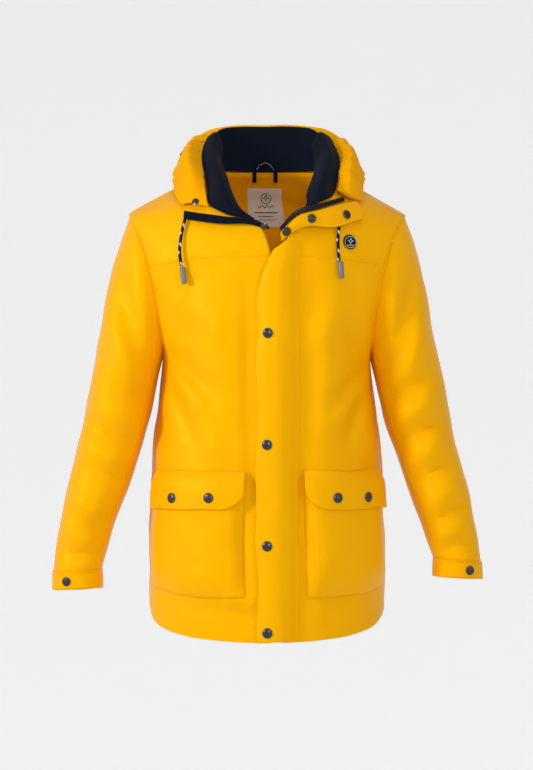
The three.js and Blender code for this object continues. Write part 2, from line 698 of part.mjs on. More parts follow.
const SLIDER_Z = ZIP_TOP - 12;
const platesAt = ROW_THICKNESS / 2 + SLIDER.clearance;
const frontPlate = CHAIN_Y - platesAt - SLIDER.plate;
const backPlate = CHAIN_Y + platesAt + SLIDER.plate;
{
  const { width, height, plate, post } = SLIDER;
  const x0 = ZIP_X - width / 2;
  const x1 = ZIP_X + width / 2;
  const z0 = SLIDER_Z - height / 2;
  const z1 = SLIDER_Z + height / 2;
  const wall = 0.9;
  const slot = TAPE_THICKNESS / 2 + 0.55;
  const body = [
    boxAt(x0, x1, frontPlate, frontPlate + plate, z0, z1),
    boxAt(x0, x1, backPlate - plate, backPlate, z0, z1),
    boxAt(ZIP_X - post / 2, ZIP_X + post / 2, frontPlate, backPlate, z1 - 5, z1 - 0.5),
    boxAt(x0, x0 + wall, frontPlate, CHAIN_Y - slot, z0, z1),
    boxAt(x1 - wall, x1, frontPlate, CHAIN_Y - slot, z0, z1),
    boxAt(x0, x0 + wall, CHAIN_Y + slot, backPlate, z0, z1),
    boxAt(x1 - wall, x1, CHAIN_Y + slot, backPlate, z0, z1),
    boxAt(ZIP_X - 0.8, ZIP_X + 0.8, frontPlate - 2.7, frontPlate - 1.9, SLIDER_Z - 5, SLIDER_Z + 4),
    boxAt(ZIP_X - 0.8, ZIP_X + 0.8, frontPlate - 2.7, frontPlate + 0.4, SLIDER_Z + 3, SLIDER_Z + 4),
    boxAt(ZIP_X - 0.8, ZIP_X + 0.8, frontPlate - 2.7, frontPlate + 0.4, SLIDER_Z - 5, SLIDER_Z - 4),
  ];
  addPiece("zip_slider", joined(...body), "zip_black");
  const y0 = frontPlate - 1.5;
  const y1 = frontPlate - 0.4;
  const pull = [
    boxAt(ZIP_X - 2.8, ZIP_X + 2.8, y0, y1, SLIDER_Z - 0.6, SLIDER_Z + 0.6),
    boxAt(ZIP_X - 2.8, ZIP_X - 1.5, y0, y1, SLIDER_Z - 8, SLIDER_Z + 0.6),
    boxAt(ZIP_X + 1.5, ZIP_X + 2.8, y0, y1, SLIDER_Z - 8, SLIDER_Z + 0.6),
    boxAt(ZIP_X - 3.2, ZIP_X + 3.2, y0, y1, SLIDER_Z - 27, SLIDER_Z - 7.5),
  ];
  addPiece("zip_pull", joined(...pull), "zip_black");
}

// ---------------------------------------------------------------- the storm flap
const flapArch = along([
  [0, 0.32],
  [0.2, 0.86],
  [0.5, 1],
  [0.8, 0.5],
  [0.93, 0.06],
  [1, 0],
]);
const FLAP_STRAIGHT_SHARE = 0.7; // share of the flap's rows below the curved top
const flapTopHeight = along([
  [0, 638],
  [0.33, 647],
  [0.76, 662],
  [1, 667],
]);
const flapPlace = (u, v) => {
  const rise = Math.max(0, (v - FLAP_STRAIGHT_SHARE) / (1 - FLAP_STRAIGHT_SHARE));
  const straight = lerp(2, FLAP_STRAIGHT, Math.min(1, v / FLAP_STRAIGHT_SHARE));
  const z = straight + rise * (flapTopHeight(u) - FLAP_STRAIGHT);
  const x = lerp(FLAP_FREE_X + 26 * rise ** 1.5, FLAP_SEWN_X, u);
  const flat = Math.min(frontFace(x), frontYokeLine(x).y);
  const leaning = THREE.MathUtils.smoothstep(z, YOKE_HEIGHT - 12, YOKE_HEIGHT + 12);
  const overYokeFace = onYoke(x, z, 0.9).y;
  const face = z > YOKE_HEIGHT ? Math.min(flat, overYokeFace) : flat;
  const base = lerp(face, overYokeFace, leaning) - LAYER_GAP - CLOTH;
  const lower = THREE.MathUtils.smoothstep(z, YOKE_HEIGHT - 6, YOKE_HEIGHT + 18);
  return point(x, base - FLAP_LIFT * flapArch(u) * lerp(1, 0.62, lower), z);
};
{
  const u = (STORM_SNAP_X - FLAP_FREE_X) / (FLAP_SEWN_X - FLAP_FREE_X);
  const holes = STORM_SNAP_HEIGHTS.map((z) => {
    const v = (FLAP_STRAIGHT_SHARE * (z - 2)) / (FLAP_STRAIGHT - 2);
    const out = normalAt(flapPlace, u, v, 1);
    return { place: flapPlace(u, v).addScaledVector(out, 0.8), out, radius: POST_HOLE };
  });
  addPiece("storm_flap", pierced(cloth(flapPlace, 10, 20, CLOTH, 1), holes), "shell_yellow");
  holes.forEach(({ place, out }, i) => {
    addPiece(`storm_snap_${i + 1}`, snapCap(place, out, CLOTH + 1.6), "snap_navy");
  });
}

// ---------------------------------------------------------------- the open collar
// Each lining column rolls over the neck edge: rows of inner edge, crest, outer edge.
const columnRows = {
  right: [
    [onYoke(-20, 688, 5), onYoke(-42, 692, 12), onYoke(-62, 696, 8)],
    [point(-45, -125, 707), point(-66, -136, 716), onYoke(-94, 711, 8)],
    [point(-57, -92, 735), point(-76, -106, 748), onYoke(-97, 738, 9)],
    [point(-66, -45, 765), point(-84, -58, 782), point(-104, -50, 768)],
    [point(-74, 5, 786), point(-90, 0, 806), point(-108, 4, 800)],
    [point(-72, 45, 806), point(-84, 50, 828), point(-98, 60, 822)],
  ],
  left: [
    [point(34, -143, 674), onYoke(42, 690, 6), onYoke(52, 703, 4)],
    [point(66, -121, 710), point(84, -130, 720), onYoke(106, 724, 5)],
    [point(64, -96, 729), point(86, -112, 742), onYoke(113, 738, 7)],
    [point(76, -48, 763), point(96, -62, 778), point(118, -52, 764)],
    [point(78, 5, 786), point(100, 0, 806), point(121, 4, 792)],
    [point(74, 45, 806), point(86, 50, 828), point(104, 60, 822)],
  ],
};
for (const [name, side] of Object.entries(SIDES)) {
  const rows = throughRows(columnRows[name]);
  const piece = cloth(rows, 8, 10, THIN_CLOTH + 0.6, side);
  addPiece(`collar_lining_${name}`, piece, "lining_navy");
}

// The hood's gathered front edge, from the collar ends round to the back of the neck.
const edgeRows = {
  right: [
    [onYoke(-96, 711, 12), onYoke(-114, 714, 13), onYoke(-134, 718, 9)],
    [overYoke(-99, -96, 16), overYoke(-116, -98, 18), overYoke(-138, -86, 9)],
    [point(-106, -50, 776), point(-128, -66, 776), overYoke(-152, -48, 13)],
    [point(-111, 4, 802), point(-132, -14, 804), point(-155, 2, 766)],
    [point(-101, 61, 825), point(-124, 50, 818), point(-150, 62, 778)],
  ],
  left: [
    [onYoke(113, 739, 12), onYoke(132, 744, 14), onYoke(151, 739, 10)],
    [overYoke(116, -84, 16), overYoke(134, -88, 18), overYoke(156, -70, 9)],
    [point(118.9, -52, 770.6), point(138, -62, 774), overYoke(158, -44, 13)],
    [point(121.3, 4, 793.1), point(140, -14, 802), point(162, 2, 766)],
    [point(104.7, 60.4, 823.1), point(128, 50, 818), point(152, 62, 778)],
  ],
};
for (const [name, side] of Object.entries(SIDES)) {
  const rows = throughRows(edgeRows[name]);
  addPiece(`hood_edge_${name}`, cloth(rows, 8, 10, CLOTH, side), "facing_yellow");
}

// The wearer's left: the upper zip and the turned-over end of the storm flap.
const upperZip = throughRows([
  [onYoke(22, 667, 18), onYoke(44, 689, 20), onYoke(72, 701, 21), onYoke(108, 711, 18), onYoke(127, 717, 17)],
  [onYoke(21, 674, 17), onYoke(42, 696, 20), onYoke(70, 709, 21), onYoke(107, 719, 17), onYoke(126, 725, 16)],
]);
addPiece("zip_upper_left", cloth(upperZip, 14, 2, 1.4, 1), "zip_black");

const turnedFlap = throughRows([
  [onYoke(24, 651, 8), onYoke(42, 666, 10), onYoke(72, 677, 11), onYoke(112, 675, 12), onYoke(159, 690, 11)],
  [onYoke(23, 659, 13), onYoke(42, 676, 16), onYoke(72, 688, 17), onYoke(112, 693, 17), onYoke(157, 706, 13)],
  [onYoke(22, 665, 15), onYoke(44, 687, 17), onYoke(72, 699, 18), onYoke(112, 709, 17), onYoke(147, 719, 13)],
]);
{
  const places = [[0.12, 0.45], [0.52, 0.5], [0.85, 0.42]];
  const sockets = places.map(([u, v]) => {
    const out = normalAt(turnedFlap, u, v, 1);
    return { place: turnedFlap(u, v).addScaledVector(out, 0.3), out, radius: POST_HOLE };
  });
  addPiece("storm_flap_end", pierced(cloth(turnedFlap, 14, 6, CLOTH, 1), sockets), "shell_yellow");
  sockets.forEach(({ place, out }, i) => {
    const ring = [
      [0, -3],
      [SNAP.post, -3],
      [SNAP.post, 0],
      [SNAP.radius * 0.9, 0],
      [SNAP.radius * 0.9, 0.6],
      [SNAP.radius * 0.75, 1.8],
      [3.4, 1.8],
      [3.4, 0.6],
      [0, 0.6],
    ];
    addPiece(`collar_socket_${i + 1}`, turned(ring, 16, place, out), "snap_brass");
  });
}

// The wearer's right: the wind guard behind the zip, turned over with its studs.
const windGuard = throughRows([
  [onYoke(-135, 689, 12), onYoke(-89, 682, 11), onYoke(-40, 682, 11), onYoke(-10, 674, 11), onYoke(3, 670, 9)],
  [onYoke(-134, 702, 13), onYoke(-92, 697, 13), onYoke(-42, 692, 15), onYoke(-13, 684, 15), onYoke(4, 674, 12)],
]);
addPiece("wind_guard", cloth(windGuard, 14, 3, CLOTH, 1), "lining_navy");

function stud(name, place, out) {
  const profile = [
    [0, 0],
    [SNAP.socket, 0],
    [SNAP.socket, 1],
    [3.2, 1.2],
    [2.4, 1.6],
    [2.9, 2.8],
    [2.2, 3.6],
    [0, 3.6],
  ];
  addPiece(name, turned(profile, 16, place, out), "snap_brass");
}
{
  const onGuard = normalAt(windGuard, 0.86, 0.55, 1);
  stud("collar_stud_1", windGuard(0.86, 0.55).addScaledVector(onGuard, LAYER_GAP), onGuard);
  const edge = throughRows(edgeRows.right);
  const onEdge = normalAt(edge, 0.5, 0.14, -1);
  stud("collar_stud_2", edge(0.5, 0.14).addScaledVector(onEdge, LAYER_GAP + 0.2), onEdge);
}

// ---------------------------------------------------------------- behind the neck
const standRidge = through(
  point(0, 84, NECK_HEIGHT + 67),
  point(45, 80, NECK_HEIGHT + 66),
  point(78, 64, NECK_HEIGHT + 61),
  point(96, 34, NECK_HEIGHT + 42),
);
const neckEdge = (t) => neckBack(lerp(0, 0.8, t)).setZ(NECK_HEIGHT + 0.8);
const standSide = (v) => neckEdge(1).lerp(standRidge(1), v);
const stand = bothHalves((u, v) => {
  const place = neckEdge(u).lerp(standRidge(u), v);
  place.y += 5 * Math.sin(Math.PI * v);
  return place;
});
addPiece("hood_stand", cloth(stand, 22, 5, CLOTH + THIN_CLOTH, 1), "lining_navy");

const HOOD = { halfWidth: 146, bottom: 640, depth: 52 };
const hoodFront = along([
  [630, 156],
  [665, 149],
  [700, 141],
  [730, 126],
  [771, 92],
  [800, 90],
  [840, 90],
]);
/** The hood hanging down behind as an open bag; v runs in over the neck and out at the back. */
function hoodBag(u, v) {
  const across = 2 * u - 1;
  const turn = Math.PI * v;
  const top = NECK_HEIGHT + lerp(70 - 42 * across ** 4, 34 - 22 * across ** 2, v);
  const bottom = HOOD.bottom + 62 * across ** 2;
  const fall = Math.sin(turn) ** 0.8;
  const z = top - (top - bottom) * fall;
  const wall = hoodFront(z);
  const open = HOOD.depth * Math.cos((Math.PI / 2) * across) ** 0.6 + 9;
  const back = (1 - Math.sign(Math.cos(turn)) * Math.abs(Math.cos(turn)) ** 0.6) / 2;
  const x = -across * (HOOD.halfWidth - 22 * fall);
  return point(x, wall + open * back, z);
}
addPiece("hood_shell", cloth(hoodBag, 16, 12, CLOTH, -1), "shell_yellow");
const hoodInside = raised(region(hoodBag, 0.04, 0.96, 0, 1), -1, -CLOTH - SEWN_FULLNESS);
addPiece("hood_lining", cloth(hoodInside, 16, 12, THIN_CLOTH, -1), "lining_navy");

const facingCut = region(backYoke, 0.34, 0.66, 0.1, 0.98);
const facing = raised(facingCut, 1, -CLOTH - 2 * SEWN_FULLNESS);
addPiece("neck_facing", cloth(facing, 12, 8, THIN_CLOTH, 1), "facing_yellow");

const insideNeck = raised(backYoke, 1, -CLOTH - 2 * SEWN_FULLNESS - THIN_CLOTH - LAYER_GAP);
const labelTop = NECK_HEIGHT - LABEL.drop;
const labelPlace = (u, v) => {
  const x = lerp(LABEL.width / 2, -LABEL.width / 2, u) - 2;
  const z = lerp(labelTop - LABEL.height, labelTop, v);
  const at = find(insideNeck, x, z);
  return point(x, insideNeck(at.u, at.v).y - 0.5, z);
};
addPiece("neck_label", cloth(labelPlace, 6, 6, 0.6, 1), "label_white");

const loopCentre = NECK_HEIGHT + 19 - LOOP.halfWidth;
const loopPlace = (u, v) => {
  const radius = lerp(LOOP.halfWidth, LOOP.halfWidth - LOOP.tape, u);
  const leg = 0.18;
  const turn = Math.PI * Math.min(Math.max((v - leg) / (1 - 2 * leg), 0), 1);
  const drop = Math.max(leg - v, v - 1 + leg, 0) * 80;
  const place = point(radius * Math.cos(turn) - 3, 0, loopCentre + radius * Math.sin(turn) - drop);
  place.y = neckBack(0).y - CLOTH - THIN_CLOTH - 2 * LAYER_GAP - 1.6;
  return place;
};
addPiece("hanger_loop", cloth(loopPlace, 2, 24, LOOP.thickness, 1), "lining_navy");

// ---------------------------------------------------------------- the hem facing
const insideHem = (surface) => (u, v) => {
  const low = heightOn(surface, u, surface(u, 0).z + 1.5);
  const high = heightOn(surface, u, surface(u, 0).z + 27);
  return surface(u, lerp(low, high, v));
};
{
  const left = insideHem(fronts.left);
  const right = insideHem(fronts.right);
  const back = insideHem(backPanel);
  const around = (u, v) => {
    if (u < 0.25) return right(0.06 + 0.94 * (u / 0.25), v);
    if (u > 0.75) return left(1 - 0.94 * ((u - 0.75) / 0.25), v);
    return back(1 - (u - 0.25) / 0.5, v);
  };
  const band = raised(around, -1, -CLOTH - SEWN_FULLNESS);
  addPiece("hem_facing", cloth(band, 40, 2, THIN_CLOTH, -1), "facing_yellow");
}

// ---------------------------------------------------------------- cords and the badge
const CORD_PATHS = {
  right: [[-130, 699, 4.8], [-133, 684, 4.6], [-138, 662, 4.2], [-141, 634, 4.2], [-138, 611, 4]],
  left: [[121, 690, 4.8], [119, 674, 4.6], [117.5, 655, 4.2], [118, 634, 4.2], [119, 619, 4]],
};
for (const [name, path] of Object.entries(CORD_PATHS)) {
  const points = path.map(([x, z, lift]) => onYoke(x, Math.max(z, 620), lift).setZ(z));
  const curve = new THREE.CatmullRomCurve3(points);
  const tube = swept(curve, circleOutline(CORD.radius, 8), 20);
  addPiece(`drawcord_${name}`, tube, "cord_navy");
  const end = curve.getPoint(1);
  const heading = curve.getTangent(1);
  const tip = turned(
    [
      [0, LAYER_GAP],
      [TIP.radius * 0.8, LAYER_GAP],
      [TIP.radius, 2],
      [TIP.radius, TIP.length - 2],
      [TIP.radius * 0.8, TIP.length],
      [0, TIP.length],
    ],
    16,
    end,
    heading,
  );
  tip.translate(0, -2.2, 0);
  addPiece(`cord_tip_${name}`, tip, "tip_grey");
  const start = curve.getPoint(0);
  const upwards = curve.getTangent(0).negate();
  const eyelet = turned(
    [
      [CORD.radius + 0.3, -1],
      [CORD.radius + 1, -1],
      [CORD.radius + 1.2, 0],
      [CORD.radius + 1, 1],
      [CORD.radius + 0.3, 1],
      [CORD.radius + 0.3, -1],
    ],
    16,
    start.addScaledVector(upwards, -3),
    upwards,
  );
  addPiece(`cord_eyelet_${name}`, eyelet, "snap_brass");
}
{
  const { u, v } = find(frontYokes.left, 136.5, 650.5);
  const out = normalAt(frontYokes.left, u, v, 1);
  const disc = turned(
    [
      [0, 0.6],
      [BADGE_RADIUS, 0.6],
      [BADGE_RADIUS, 1.6],
      [BADGE_RADIUS - 0.8, 2.1],
      [0, 2.1],
    ],
    28,
    frontYokes.left(u, v),
    out,
  );
  addPiece("chest_badge", disc, "badge_navy");
}

// The loop's top is the jacket's own origin.
const hook = loopPlace(0, 0.5);
jacket.children.forEach((mesh) => mesh.geometry.translate(-hook.x, -hook.y, -hook.z));
export default jacket;
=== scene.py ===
"""The looks of a yellow foul weather jacket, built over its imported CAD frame.

Every cloth piece starts from its own CAD solid, is made smooth and fine, and is then pushed
into soft folds by one shared field, so that pieces sewn together stay together.
"""

import json
import logging
import math
from dataclasses import dataclass
from enum import Enum

import bmesh
import bpy
import numpy as np
from mathutils import Matrix, Vector, noise
from mathutils.bvhtree import BVHTree


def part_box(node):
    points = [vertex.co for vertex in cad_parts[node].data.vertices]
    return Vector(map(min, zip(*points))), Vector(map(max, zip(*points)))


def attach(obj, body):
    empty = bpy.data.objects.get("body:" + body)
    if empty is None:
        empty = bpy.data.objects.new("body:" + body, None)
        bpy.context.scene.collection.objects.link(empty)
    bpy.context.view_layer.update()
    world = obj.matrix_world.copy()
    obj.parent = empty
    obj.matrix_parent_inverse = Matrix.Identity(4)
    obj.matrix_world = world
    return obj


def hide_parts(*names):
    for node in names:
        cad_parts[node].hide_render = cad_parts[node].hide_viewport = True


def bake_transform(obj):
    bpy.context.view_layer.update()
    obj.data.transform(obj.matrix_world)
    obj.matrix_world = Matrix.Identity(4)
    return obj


LOG = logging.getLogger("jacket")
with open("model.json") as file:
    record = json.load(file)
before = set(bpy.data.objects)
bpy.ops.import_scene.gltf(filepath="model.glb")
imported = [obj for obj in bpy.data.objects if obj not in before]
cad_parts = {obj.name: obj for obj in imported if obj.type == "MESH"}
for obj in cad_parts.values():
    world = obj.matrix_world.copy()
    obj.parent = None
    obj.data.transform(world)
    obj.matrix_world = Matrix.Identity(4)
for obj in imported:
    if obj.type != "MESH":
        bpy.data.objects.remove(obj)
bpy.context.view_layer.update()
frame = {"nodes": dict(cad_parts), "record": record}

MM = 0.001


class Slot(str, Enum):
    """The record's material slots."""

    SHELL = "shell_yellow"
    FACING = "facing_yellow"
    LINING = "lining_navy"
    ZIP = "zip_black"
    SNAP = "snap_navy"
    BRASS = "snap_brass"
    LABEL = "label_white"
    BADGE = "badge_navy"
    CORD = "cord_navy"
    TIP = "tip_grey"


class Garment:
    """Places on the jacket, in millimetres above the middle of the hem.

    The hanger loop is the row's origin, and these offsets turn a place measured from the hem
    into one in the row frame.
    """

    def __init__(self) -> None:
        low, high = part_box("front_panel_right")
        self.hem = low.z
        self.middle = (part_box("sleeve_top_right")[0].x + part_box("sleeve_top_left")[1].x) / 2
        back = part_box("back_panel")[1].y
        self.depth_middle = (low.y + back) / 2

    def place(self, x: float, y: float, z: float) -> Vector:
        """Turns garment millimetres into the row frame.

        Args:
            x: towards the wearer's left.
            y: towards the back, from the middle of the body.
            z: above the hem.

        Returns:
            The point in metres.
        """
        return Vector((self.middle + x * MM, self.depth_middle + y * MM, self.hem + z * MM))


GARMENT = Garment()


@dataclass(frozen=True)
class Fold:
    """One soft fold, drawn on the front view as a stroke.

    Attributes:
        start: x and z in millimetres where it begins.
        end: x and z where it runs out.
        width: how far it spreads to each side.
        lift: how far it stands out, or sinks in when negative.
    """

    start: tuple[float, float]
    end: tuple[float, float]
    width: float
    lift: float


BODY_FOLDS = (
    Fold((-165, 470), (-95, 415), 15, -7),
    Fold((-160, 445), (-105, 372), 17, 6),
    Fold((-158, 420), (-120, 330), 13, -6),
    Fold((-150, 560), (-60, 500), 30, 4),
    Fold((-120, 600), (-150, 430), 26, -5),
    Fold((-70, 560), (-60, 330), 34, 4),
    Fold((-32, 610), (-24, 180), 16, -3.5),
    Fold((-110, 400), (-80, 300), 22, 4),
    Fold((168, 445), (112, 400), 14, -7),
    Fold((165, 425), (110, 352), 15, 6),
    Fold((160, 400), (128, 320), 13, -6),
    Fold((150, 560), (80, 480), 30, 4),
    Fold((140, 590), (150, 430), 24, -5),
    Fold((74, 590), (66, 300), 26, -3.5),
    Fold((100, 520), (92, 320), 28, 4),
    Fold((-120, 60), (-20, 40), 26, -4),
    Fold((-70, 68), (-20, 58), 14, 4),
    Fold((85, 66), (160, 78), 24, -4),
    Fold((-40, 240), (-34, 70), 12, -3),
    Fold((62, 290), (60, 60), 14, -3),
)

SLEEVE_FOLDS = (
    Fold((-262, 420), (-190, 395), 16, -8),
    Fold((-285, 395), (-200, 350), 16, 7),
    Fold((-300, 350), (-215, 325), 14, -8),
    Fold((-300, 325), (-225, 285), 15, 7),
    Fold((-318, 280), (-235, 268), 12, -6),
    Fold((-240, 600), (-215, 480), 20, -6),
    Fold((-215, 640), (-200, 500), 18, 5),
    Fold((-265, 540), (-225, 440), 18, 6),
    Fold((-325, 240), (-262, 205), 13, 6),
    Fold((-330, 205), (-270, 185), 11, -6),
    Fold((-338, 180), (-275, 160), 12, 5),
    Fold((-342, 150), (-282, 138), 9, -5),
    Fold((265, 430), (196, 400), 16, -8),
    Fold((288, 400), (205, 360), 16, 7),
    Fold((298, 356), (214, 332), 14, -8),
    Fold((300, 330), (226, 290), 15, 7),
    Fold((318, 290), (236, 262), 12, -6),
    Fold((242, 600), (214, 480), 20, -6),
    Fold((214, 640), (202, 500), 18, 5),
    Fold((268, 540), (228, 440), 18, 6),
    Fold((326, 250), (258, 222), 13, 6),
    Fold((330, 222), (268, 190), 11, -6),
    Fold((338, 190), (276, 172), 12, 5),
    Fold((340, 162), (284, 150), 9, -5),
)


class FoldField:
    """The one displacement shared by every piece, so that seams stay closed."""

    def __init__(self, garment: Garment) -> None:
        self.garment = garment

    def _strokes(self, x, z, folds) -> np.ndarray:
        """Adds up the strokes at front-view places, in millimetres."""
        total = np.zeros_like(x)
        for fold in folds:
            ax, az = fold.start
            dx, dz = fold.end[0] - ax, fold.end[1] - az
            length2 = dx * dx + dz * dz
            t = np.clip(((x - ax) * dx + (z - az) * dz) / length2, 0, 1)
            gap2 = (x - ax - t * dx) ** 2 + (z - az - t * dz) ** 2
            taper = 1 - (2 * t - 1) ** 4 * 0.7
            total += 1.35 * fold.lift * taper * np.exp(-gap2 / (2 * (fold.width * 0.62) ** 2))
        return total

    def push(self, points: np.ndarray) -> np.ndarray:
        """Moves points by the field.

        Args:
            points: places in the row frame, in metres, one per row.

        Returns:
            The moved places.
        """
        base = self.garment.place(0, 0, 0)
        x = (points[:, 0] - base.x) / MM
        y = (points[:, 1] - base.y) / MM
        z = (points[:, 2] - base.z) / MM
        # Sleeve strokes count past the armhole seam, body strokes inside it.
        seam = 172 + 55 * np.clip((z - 462) / 238, 0, 1) ** 2
        out = 1 / (1 + np.exp(-(np.abs(x) - seam) / 3.5))
        front = np.clip((30 - y) / 60, 0, 1)
        quiet = np.clip((z - 15) / 40, 0, 1) * np.clip((690 - z) / 60, 0, 1)
        still = np.clip((np.abs(x - 17) - 8) / 26, 0, 1)
        body = self._strokes(x, z, BODY_FOLDS) * quiet * still * np.clip(-y / 60, 0, 1)
        sleeve = self._strokes(x, z, SLEEVE_FOLDS) * np.clip((z - 122) / 18, 0, 1) * front
        moved = points.copy()
        moved[:, 1] -= (body * (1 - out) + sleeve * out) * MM
        calm = still * np.clip((760 - z) / 60, 0, 1) * np.clip((z - 0) / 40, 0.25, 1)
        hood = np.clip((y - 66) / 30, 0, 1) * np.clip((z - 650) / 50, 0, 1)
        rise = np.clip((z - 775) / 60, 0, 1)
        moved[:, 2] += 11 * rise * rise * (3 - 2 * rise) * MM
        for i in range(len(points)):
            p = Vector((x[i], y[i], z[i]))
            wide = noise.noise_vector(p / 95) * 3.6 + noise.noise_vector(p / 42 + Vector((7, 3, 1))) * 1.7
            crumple = noise.noise_vector(Vector((x[i] / 70, y[i] / 34, z[i] / 30))) * 4.0
            moved[i] += np.array(wide * float(calm[i]) + crumple * float(hood[i])) * MM
        return moved


FIELD = FoldField(GARMENT)


# ------------------------------------------------------------------ shaders
class Shade:
    """A shader value that can be added, multiplied and so on, as nodes."""

    def __init__(self, graph: "Graph", socket) -> None:
        self.graph = graph
        self.socket = socket

    def _math(self, operation: str, a, b=None) -> "Shade":
        """Makes one Math node."""
        values = [a] if b is None else [a, b]
        return self.graph.node("ShaderNodeMath", {"operation": operation}, dict(enumerate(values)))

    def __add__(self, other) -> "Shade":
        return self._math("ADD", self, other)

    def __radd__(self, other) -> "Shade":
        return self._math("ADD", other, self)

    def __sub__(self, other) -> "Shade":
        return self._math("SUBTRACT", self, other)

    def __rsub__(self, other) -> "Shade":
        return self._math("SUBTRACT", other, self)

    def __mul__(self, other) -> "Shade":
        return self._math("MULTIPLY", self, other)

    def __rmul__(self, other) -> "Shade":
        return self._math("MULTIPLY", other, self)

    def __truediv__(self, other) -> "Shade":
        return self._math("DIVIDE", self, other)

    def above(self, other) -> "Shade":
        """1 where this is greater than other, else 0."""
        return self._math("GREATER_THAN", self, other)

    def fraction(self) -> "Shade":
        """The part after the decimal point."""
        return self._math("FRACT", self)

    def absolute(self) -> "Shade":
        """The size without the sign."""
        return self._math("ABSOLUTE", self)

    def sine(self) -> "Shade":
        """The sine of this, in radians."""
        return self._math("SINE", self)


class Graph:
    """One material and its nodes."""

    def __init__(self, name: str) -> None:
        self.material = bpy.data.materials.new(name)
        self.material.use_nodes = True
        self.tree = self.material.node_tree
        self.shader = self.tree.nodes["Principled BSDF"]

    def node(self, kind: str, settings: dict, inputs: dict, output=0) -> Shade:
        """Adds a node.

        Args:
            kind: the node's type.
            settings: its own properties.
            inputs: values or Shades, by input name or number.
            output: which output to hand back.

        Returns:
            The chosen output.
        """
        made = self.tree.nodes.new(kind)
        for key, value in settings.items():
            setattr(made, key, value)
        for key, value in inputs.items():
            self.feed(made.inputs[key], value)
        return Shade(self, made.outputs[output])

    def feed(self, socket, value) -> None:
        """Links a Shade into a socket, or sets a constant there."""
        if isinstance(value, Shade):
            self.tree.links.new(value.socket, socket)
        else:
            socket.default_value = value

    def place(self) -> Shade:
        """The object coordinates."""
        return self.node("ShaderNodeTexCoord", {}, {}, "Object")

    def axes(self, place: Shade) -> tuple[Shade, Shade, Shade]:
        """Splits a place into x, y and z."""
        split = self.tree.nodes.new("ShaderNodeSeparateXYZ")
        self.tree.links.new(place.socket, split.inputs[0])
        return tuple(Shade(self, out) for out in split.outputs)

    def noise(self, place: Shade, scale: float, detail: float = 2.0) -> Shade:
        """Cloudy noise, about 0 to 1."""
        return self.node("ShaderNodeTexNoise", {}, {"Vector": place, "Scale": scale, "Detail": detail})

    def mix(self, share: Shade, a: tuple, b: tuple) -> Shade:
        """A colour between two."""
        return self.node(
            "ShaderNodeMix",
            {"data_type": "RGBA"},
            {"Factor": share, 6: (*a, 1.0), 7: (*b, 1.0)},
            2,
        )

    def bump(self, height: Shade, strength: float, distance: float) -> None:
        """Presses a height into the surface."""
        normal = self.node(
            "ShaderNodeBump", {}, {"Height": height, "Strength": strength, "Distance": distance}
        )
        self.feed(self.shader.inputs["Normal"], normal)


@dataclass(frozen=True)
class Finish:
    """How one material slot looks.

    Attributes:
        colour: linear base colour.
        shade: a slightly different colour that it drifts to.
        roughness: of the surface.
        metallic: 0 or 1.
        sheen: soft light at grazing angles, for cloth.
        weave: threads per metre in the bump, or 0 for coated or moulded surfaces.
        grain: strength of the fine bump.
        coat: strength of a clear coat.
        gloss: strength of the surface's own reflection.
        tint: colour of that reflection.
    """

    colour: tuple[float, float, float]
    shade: tuple[float, float, float]
    roughness: float
    metallic: float = 0.0
    sheen: float = 0.0
    weave: float = 0.0
    grain: float = 0.2
    coat: float = 0.0
    gloss: float = 0.5
    tint: tuple[float, float, float] = (1.0, 1.0, 1.0)


FINISHES = {
    Slot.SHELL: Finish((0.95, 0.455, 0.0006), (0.9, 0.405, 0.0004), 0.45, grain=0.28, gloss=0.4, tint=(1, 0.72, 0.02)),
    Slot.FACING: Finish((0.93, 0.42, 0.001), (0.84, 0.34, 0.001), 0.75, weave=1400, grain=0.3, gloss=0.1, tint=(1, 0.7, 0.05)),
    Slot.LINING: Finish((0.0035, 0.0065, 0.016), (0.002, 0.004, 0.010), 0.9, sheen=0.03, weave=900, grain=0.5, gloss=0.08),
    Slot.ZIP: Finish((0.004, 0.0045, 0.006), (0.008, 0.008, 0.01), 0.4, grain=0.15, gloss=0.3),
    Slot.SNAP: Finish((0.008, 0.01, 0.018), (0.014, 0.017, 0.03), 0.28, grain=0.05, coat=0.4),
    Slot.BRASS: Finish((0.11, 0.09, 0.06), (0.07, 0.06, 0.045), 0.3, metallic=1.0, grain=0.1),
    Slot.LABEL: Finish((0.76, 0.72, 0.63), (0.7, 0.66, 0.57), 0.8, weave=1500, grain=0.3, gloss=0.2),
    Slot.BADGE: Finish((0.006, 0.010, 0.025), (0.010, 0.015, 0.036), 0.8, weave=1700, grain=0.6, gloss=0.1),
    Slot.CORD: Finish((0.006, 0.009, 0.022), (0.55, 0.55, 0.52), 0.8, grain=0.3, gloss=0.15),
    Slot.TIP: Finish((0.15, 0.155, 0.165), (0.19, 0.19, 0.2), 0.42, grain=0.1, gloss=0.4),
}


